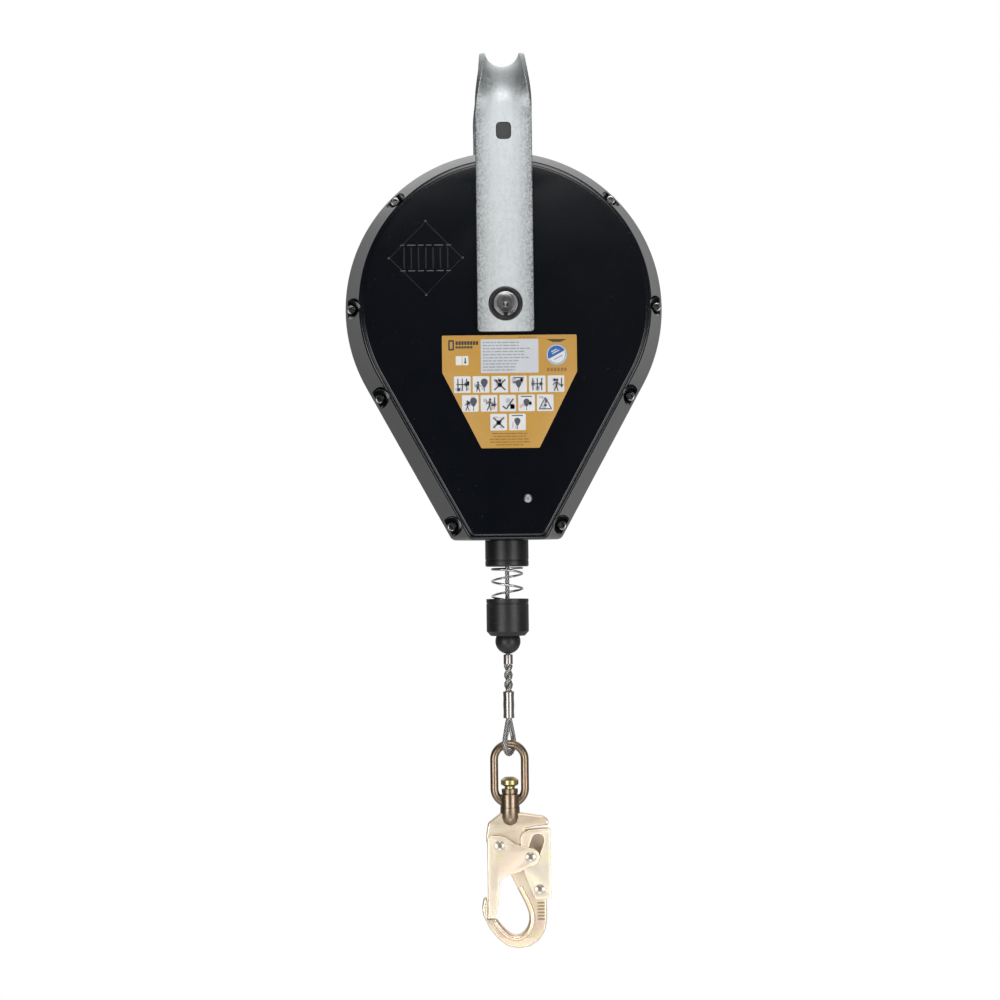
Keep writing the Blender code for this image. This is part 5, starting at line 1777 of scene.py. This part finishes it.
class BuildLink(bpy.types.Operator):
    """Forge the oval eye link with its boss and turn the swivel bolt"""

    bl_idname = "lifeline.link"
    bl_label = "Eye Link and Swivel"

    def execute(self, context):
        top, end = LINK_TOP - LINK_HALF, LINK_END + LINK_HALF
        loop = arc((0, top), LINK_HALF, 0, 180, 32) + [(-LINK_HALF, (top + end) / 2)]
        loop += arc((0, end), LINK_HALF, 180, 360, 32) + [(LINK_HALF, (top + end) / 2)]
        ring = tube([(x, 0.0, z) for x, z in loop], LINK_WIRE, 28, closed=True)
        link = solid("oval_link", ring, link_zinc(), 50.0)
        boss = [(0, BOSS_TOP), (BOSS_R - 1.2, BOSS_TOP, 0.6), (BOSS_R - 1.2, BOSS_TOP - 3.4, 0.3)]
        boss += [(BOSS_R - 1.7, BOSS_TOP - 3.8, 0.1), (BOSS_R - 1.7, BOSS_TOP - 4.4, 0.1)]
        boss += [(BOSS_R, BOSS_TOP - 5.0, 0.4), (BOSS_R, BOSS_END, 0.7), (0, BOSS_END)]
        boss = solid("tool", lathe(boss, steps=64), None)
        bore = rods([((0, 0, -665), (0, 0, -630), 3.8)], 40)
        link = shaped(link, (boss, "UNION"), (bore, "DIFFERENCE"), sharp=45.0)
        settled(link, "link", "link_zinc", "eye_link")
        bolt = [(0, -630.8), (4.6, -630.8, 1.6), (7.9, -633.4, 1.6), (7.9, -637.2, 1.0), (6.2, -638.4, 0.6)]
        bolt += [(4.6, -639.0, 0.4), (4.6, -641.0, 0.2), (3.5, -641.0, 0.2), (3.5, -668.0, 0.4), (0, -668.0)]
        brass = yellow_zinc("bolt_zinc", (0.42, 0.38, 0.2), 0.32)
        bolt = solid("swivel_pin", lathe(bolt, steps=56), brass, 40.0)
        slot = column([(-9, -0.7), (9, -0.7), (9, 0.7), (-9, 0.7)], -632.0, -630)
        settled(shaped(bolt, (slot, "DIFFERENCE")), "hook", "link_zinc", "swivel_bolt")
        return {"FINISHED"}


def body_outline():
    """The forged hook seen from the front. A third value is a corner's own radius."""
    crown = [(8.0, -662.5, 1.5), (29.8, -666.0), (34.0, -669.4), (34.2, -673.6), (22.4, -674.8, 0.6)]
    spine = [(13.2, -676.6, 0.8), (13.2, -707.0, 2), (24.0, -709.5, 2), (31.9, -735.0, 4), (31.9, -758.5, 4)]
    outer = [(30.0, -768.0, 8), (24.6, -776.4, 8), (16.4, -781.8, 8), (6.5, -783.5, 8), (-3.5, -781.2, 8)]
    outer += [(-12.0, -774.8, 8), (-19.6, -765.2, 8), (-25.2, -753.6, 6), (-26.0, -747.0, 5)]
    outer.append((-24.6, -739.2, 2))
    nose = [(-22.0, -737.6, 1.4), (-21.3, -741.6, 1), (-21.3, -757.4, 0.8), (-13.4, -757.4, 0.8)]
    inner = [(-8.2, -764.2, 5), (-3.0, -769.4, 5), (1.2, -771.8, 4), (5.2, -772.4, 4), (10.2, -770.6, 4)]
    inner += [(14.4, -766.4, 4), (16.6, -760.0, 5), (16.4, -753.0, 5), (13.6, -745.0, 5), (0.0, -717.6, 3)]
    throat = [(-1.0, -706.0, 2), (-4.0, -700.4, 2), (-10.0, -699.8, 2), (-16.0, -697.0, 3)]
    left = [(-21.5, -689.0, 3), (-21.5, -682.0, 3), (-19.8, -671.6, 4), (-8.0, -662.5, 2)]
    return fillet(crown + spine + outer + nose + inner + throat + left, 1.2, steps=5)


class BuildHook(bpy.types.Operator):
    """Forge the hook's body with its neck and the raised rim round its bow"""

    bl_idname = "lifeline.hook"
    bl_label = "Hook Body"

    edge: bpy.props.FloatProperty(
        name="Forged Edge", description="Radius of the body's edges", default=1.5, min=0.2
    )

    def execute(self, context):
        body = plate("snap_hook", body_outline(), -5.0, 5.0, body_zinc(), edge=self.edge, steps=4)
        neck = [(0, BOSS_END - GAP), (8.75, BOSS_END - GAP, 1.0), (8.75, -667.0, 2.0), (7.6, -671.0, 2.0)]
        neck += [(4.4, -674.2, 1.5), (0, -675.4)]
        neck = solid("hook_neck", lathe(neck, steps=64), link_zinc())
        neck_bore = ((0, 0, -668.4), (0, 0, -650), 3.8)
        settled(shaped(neck, (rods([neck_bore]), "DIFFERENCE"), sharp=38.0), "hook", "yellow_zinc")
        seat = ((22.1, 0, LEVER_SPRING_Z), (32.2, 0, LEVER_SPRING_Z), 3.4)
        holes = [((x, -8, z), (x, 8, z), 3.3) for x, z in (GATE_PIVOT, LEVER_PIVOT)]
        cuts = rods([neck_bore, seat, *holes])
        settled(shaped(body, (cuts, "DIFFERENCE"), sharp=38.0), "hook", "yellow_zinc", "hook_body")
        self.rims()
        return {"FINISHED"}

    def rims(self):
        """The forging's round bead that follows the bow's inner edge on each face."""
        edge = [(5.5, -728.7), (13.6, -745.0), (16.4, -753.0), (16.6, -760.0), (14.4, -766.4), (10.2, -770.6)]
        edge += [(5.2, -772.4), (1.2, -771.8), (-3.0, -769.4), (-8.2, -764.2), (-13.4, -757.4)]
        route = evenly([(x, 0, z) for x, z in edge], 1.0, 8)
        for name, side in (("front", -1), ("rear", 1)):
            points = []
            for back, here, ahead in zip(route, route[1:], route[2:]):
                way = (ahead - back).normalized()
                points.append((here.x - way.z * 2.5, side * 3.5, here.z + way.x * 2.5))
            self.stamp(name, side)
            settled(solid("bow_rim_" + name, tube(points, 2.8, 24), body_zinc(), 60.0), "hook", "yellow_zinc")

    @staticmethod
    def stamp(name, side):
        """A short row of raised ribs on the web below the lever."""
        work = bmesh.new()
        near, far = sorted((side * 4.9, side * 5.5))
        for k in range(6):
            z = -743.6 - k * 2.9
            prism([(23.6, z), (29.6, z), (29.6, z + 1.3), (23.6, z + 1.3)], near, far, work)
        dull = yellow_zinc("stamp_zinc", (0.46, 0.36, 0.25), 0.36)
        settled(solid("bow_stamp_" + name, work, dull), "hook", "yellow_zinc")


def strap(low_x, high_x, half_y, low_z, high_z, edge):
    """The strip that joins a pair of cheeks, rounded along its outer edges."""
    corners = [(low_x, -half_y), (high_x, -half_y), (high_x, half_y), (low_x, half_y)]
    return column(fillet(corners, edge), low_z, high_z)


class BuildGate(bpy.types.Operator):
    """Press the gate: two cheeks joined by a strip down the mouth side"""

    bl_idname = "lifeline.gate"
    bl_label = "Gate"

    def execute(self, context):
        outline = [(-20.6, -684.4, 1), (-18.4, -682.4, 1), (-8.0, -682.8, 3), (-2.0, -685.4, 3)]
        outline += [(3.4, -689.8, 3), (9.0, -691.8, 2), *((*p, 0) for p in arc(GATE_LOBE, 8.1, 62, -98, 24))]
        outline += [(8.4, -714.9, 3), (-1.0, -717.0, 4), (-8.4, -721.0, 4), (-10.7, -726.5, 3)]
        outline += [(-11.2, -742.0, 3), (-14.4, -754.6, 1.5), (-20.6, -754.6, 0.8)]
        outline = fillet(outline, 1.0, steps=5)
        pivot, pin = arc(GATE_PIVOT, 3.3, 0, 350, 35), arc(GATE_LOBE, 2.5, 0, 350, 35)
        gate = plate("gate_cheeks", outline, -8.9, -7.3, cheek_zinc(), [pivot, pin], edge=0.75)
        rear = plate("tool", outline, 7.3, 8.9, None, [pivot], edge=0.75)
        strip = strap(-20.6, -18.9, 8.5, -754.4, -699.6, 0.5)
        gate = shaped(gate, (strip, "UNION"), (rear, "UNION"), sharp=40.0)
        settled(gate, "gate_body", "yellow_zinc", "gate")
        return {"FINISHED"}


class BuildLever(bpy.types.Operator):
    """Press the lock lever: a front cheek with a slanted window and a plain rear one, joined down the back"""

    bl_idname = "lifeline.lever"
    bl_label = "Lock Lever"

    def execute(self, context):
        outline = [(9.0, -702.0, 1), (9.0, -684.0, 3), (11.0, -680.0, 3), (16.0, -677.8, 3)]
        outline += [(28.0, -676.8, 3), (35.8, -676.8, 2), (35.8, -739.4, 2)]
        outline += [(21.4, -739.4, 1.5), (11.0, -713.0, 2)]
        outline = fillet(outline, 1.0, steps=5)
        window = arc((24.5, -687.0), 5.6, -19.6, 160.4, 16) + arc((19.3, -701.6), 5.6, 160.4, 340.4, 16)
        pivot = arc(LEVER_PIVOT, 3.3, 0, 350, 35)
        lever = plate("lever_cheeks", outline, -6.9, -5.4, cheek_zinc(), [window, pivot], edge=0.7)
        rear = plate("tool", outline, 5.4, 6.9, None, [pivot], edge=0.7)
        strip = strap(34.2, 35.8, 6.5, -736.8, -679.0, 0.5)
        lever = shaped(lever, (strip, "UNION"), (rear, "UNION"), sharp=40.0)
        settled(lever, "lever_body", "yellow_zinc", "lock_lever")
        return {"FINISHED"}


class BuildRivets(bpy.types.Operator):
    """Set the rivets of the gate and the lever, with spun heads, and the headed pin in the gate's lobe"""

    bl_idname = "lifeline.rivets"
    bl_label = "Rivets"

    def execute(self, context):
        rivets = (
            ("gate_pin", GATE_PIVOT, 3.0, 8.9, "hook", "gate_rivet"),
            ("lobe_pin", GATE_LOBE, 2.2, 8.9, "gate_body", "gate_lobe_rivet"),
            ("lever_pin", LEVER_PIVOT, 3.0, 6.9, "hook", "lever_rivet"),
        )
        for name, (x, z), shank, cheek, body, node in rivets:
            head = [(0, cheek + 1.45), (0.9, cheek + 1.5, 0.2), (1.3, cheek + 1.9, 0.3)]
            head += [(2.4, cheek + 1.85, 0.5), (4.3, cheek + 1.1, 0.5)]
            head += [(4.3, cheek + GAP, 0.15), (shank, cheek + GAP, 0.1)]
            rear = [(0, 4.8), (shank, 4.8, 0.3)] if name == "lobe_pin" else head
            profile = rear + [(p[0], -p[1], *p[2:]) for p in head[::-1]]
            finish = turned_metal(name + "_zinc", (0.55, 0.5, 0.43), 0.3, (x, 0, z), Y)
            settled(solid(name, lathe(profile, (x, 0, z), Y, 48), finish, 35.0), body, "screw_zinc", node)
        return {"FINISHED"}


class BuildHookSprings(bpy.types.Operator):
    """Wind the springs of the gate and the lever"""

    bl_idname = "lifeline.hook_springs"
    bl_label = "Hook Springs"

    def execute(self, context):
        x, z = GATE_PIVOT
        gate = coil("gate_coil", spring_wire(), 4.2, 0.3, 1.5, -6.75, -5.55, (x, 0, z), Y, -90)
        settled(gate, "hook", "spring_steel", "gate_spring")
        lever = coil("lever_coil", spring_wire(), 2.6, 0.45, 4.5, 22.9, 31.7, (0, 0, LEVER_SPRING_Z), X)
        settled(lever, "hook", "spring_steel", "lever_spring")
        return {"FINISHED"}


# Works inside the casing


class FinishWorks(bpy.types.Operator):
    """Give the drum, brake, pawls, springs and seal inside the casing their finishes"""

    bl_idname = "lifeline.works"
    bl_label = "Inner Works"

    def execute(self, context):
        axle = (0, 0, AXLE_Z)
        cast = turned_metal("drum_aluminium", (0.62, 0.63, 0.65), 0.38, axle, Y)
        bright = turned_metal("bearing_steel", (0.5, 0.5, 0.52), 0.22, axle, Y)
        plates = turned_metal("plate_steel", (0.16, 0.16, 0.17), 0.42, axle, Y)
        hard = plain_steel("hardened_steel", (0.3, 0.29, 0.28), 0.36, 800.0)
        finishes = {
            cast: ("drum", "spring_case"),
            bright: ("drum_bearing_front", "drum_bearing_rear", "disc_spring"),
            plates: ("pressure_plate", "backing_plate"),
            hard: ("ratchet_wheel", "pawl_1", "pawl_2"),
            brake_lining(): ("friction_disc_front", "friction_disc_rear"),
            spring_wire(): ("power_spring", "pawl_spring_1", "pawl_spring_2", "pawl_pin_1", "pawl_pin_2"),
            zinc_screw(): ("brake_nut",),
            moulded_plastic("guide_plastic", (0.02, 0.02, 0.022), 0.4): ("rope_guide",),
            rubber("seal_rubber", (0.012, 0.012, 0.012), 0.75): ("casing_gasket",),
        }
        for finish, nodes in finishes.items():
            for node in nodes:
                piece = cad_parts[node]
                piece.data.materials.clear()
                piece.data.materials.append(finish)
        return {"FINISHED"}


PIECES = (
    BuildStage,
    BuildSplice,
    BuildOutlet,
    BuildRope,
    BuildCasing,
    BuildBadge,
    BuildScrews,
    BuildBracket,
    BuildAxleEnds,
    BuildLabel,
    BuildLink,
    BuildHook,
    BuildGate,
    BuildLever,
    BuildRivets,
    BuildHookSprings,
    FinishWorks,
)
LOOKS = {
    "lifeline_casing": CasingLook,
    "lifeline_bracket": BracketLook,
    "lifeline_rope": RopeLook,
    "lifeline_label": LabelLook,
    "lifeline_stage": StageLook,
}


class LifelinePanel(bpy.types.Panel):
    """Sizes, colours and the steps of the lifeline"""

    bl_idname = "VIEW3D_PT_lifeline"
    bl_label = "Lifeline"
    bl_space_type = "VIEW_3D"
    bl_region_type = "UI"
    bl_category = "Lifeline"

    def draw(self, context):
        for name, look in LOOKS.items():
            box = self.layout.box()
            box.label(text=look.__doc__)
            for key in look.__annotations__:
                box.prop(getattr(context.scene, name), key)
        for piece in PIECES:
            self.layout.operator(piece.bl_idname)


def register():
    for item in (*LOOKS.values(), *PIECES, LifelinePanel):
        bpy.utils.register_class(item)
    for name, look in LOOKS.items():
        setattr(bpy.types.Scene, name, bpy.props.PointerProperty(type=look))


def unregister():
    for name in LOOKS:
        delattr(bpy.types.Scene, name)
    for item in (LifelinePanel, *reversed(PIECES), *reversed(LOOKS.values())):
        bpy.utils.unregister_class(item)


def main():
    register()
    for piece in PIECES:
        group, step = piece.bl_idname.split(".")
        getattr(getattr(bpy.ops, group), step)()


if __name__ == "__main__":
    main()
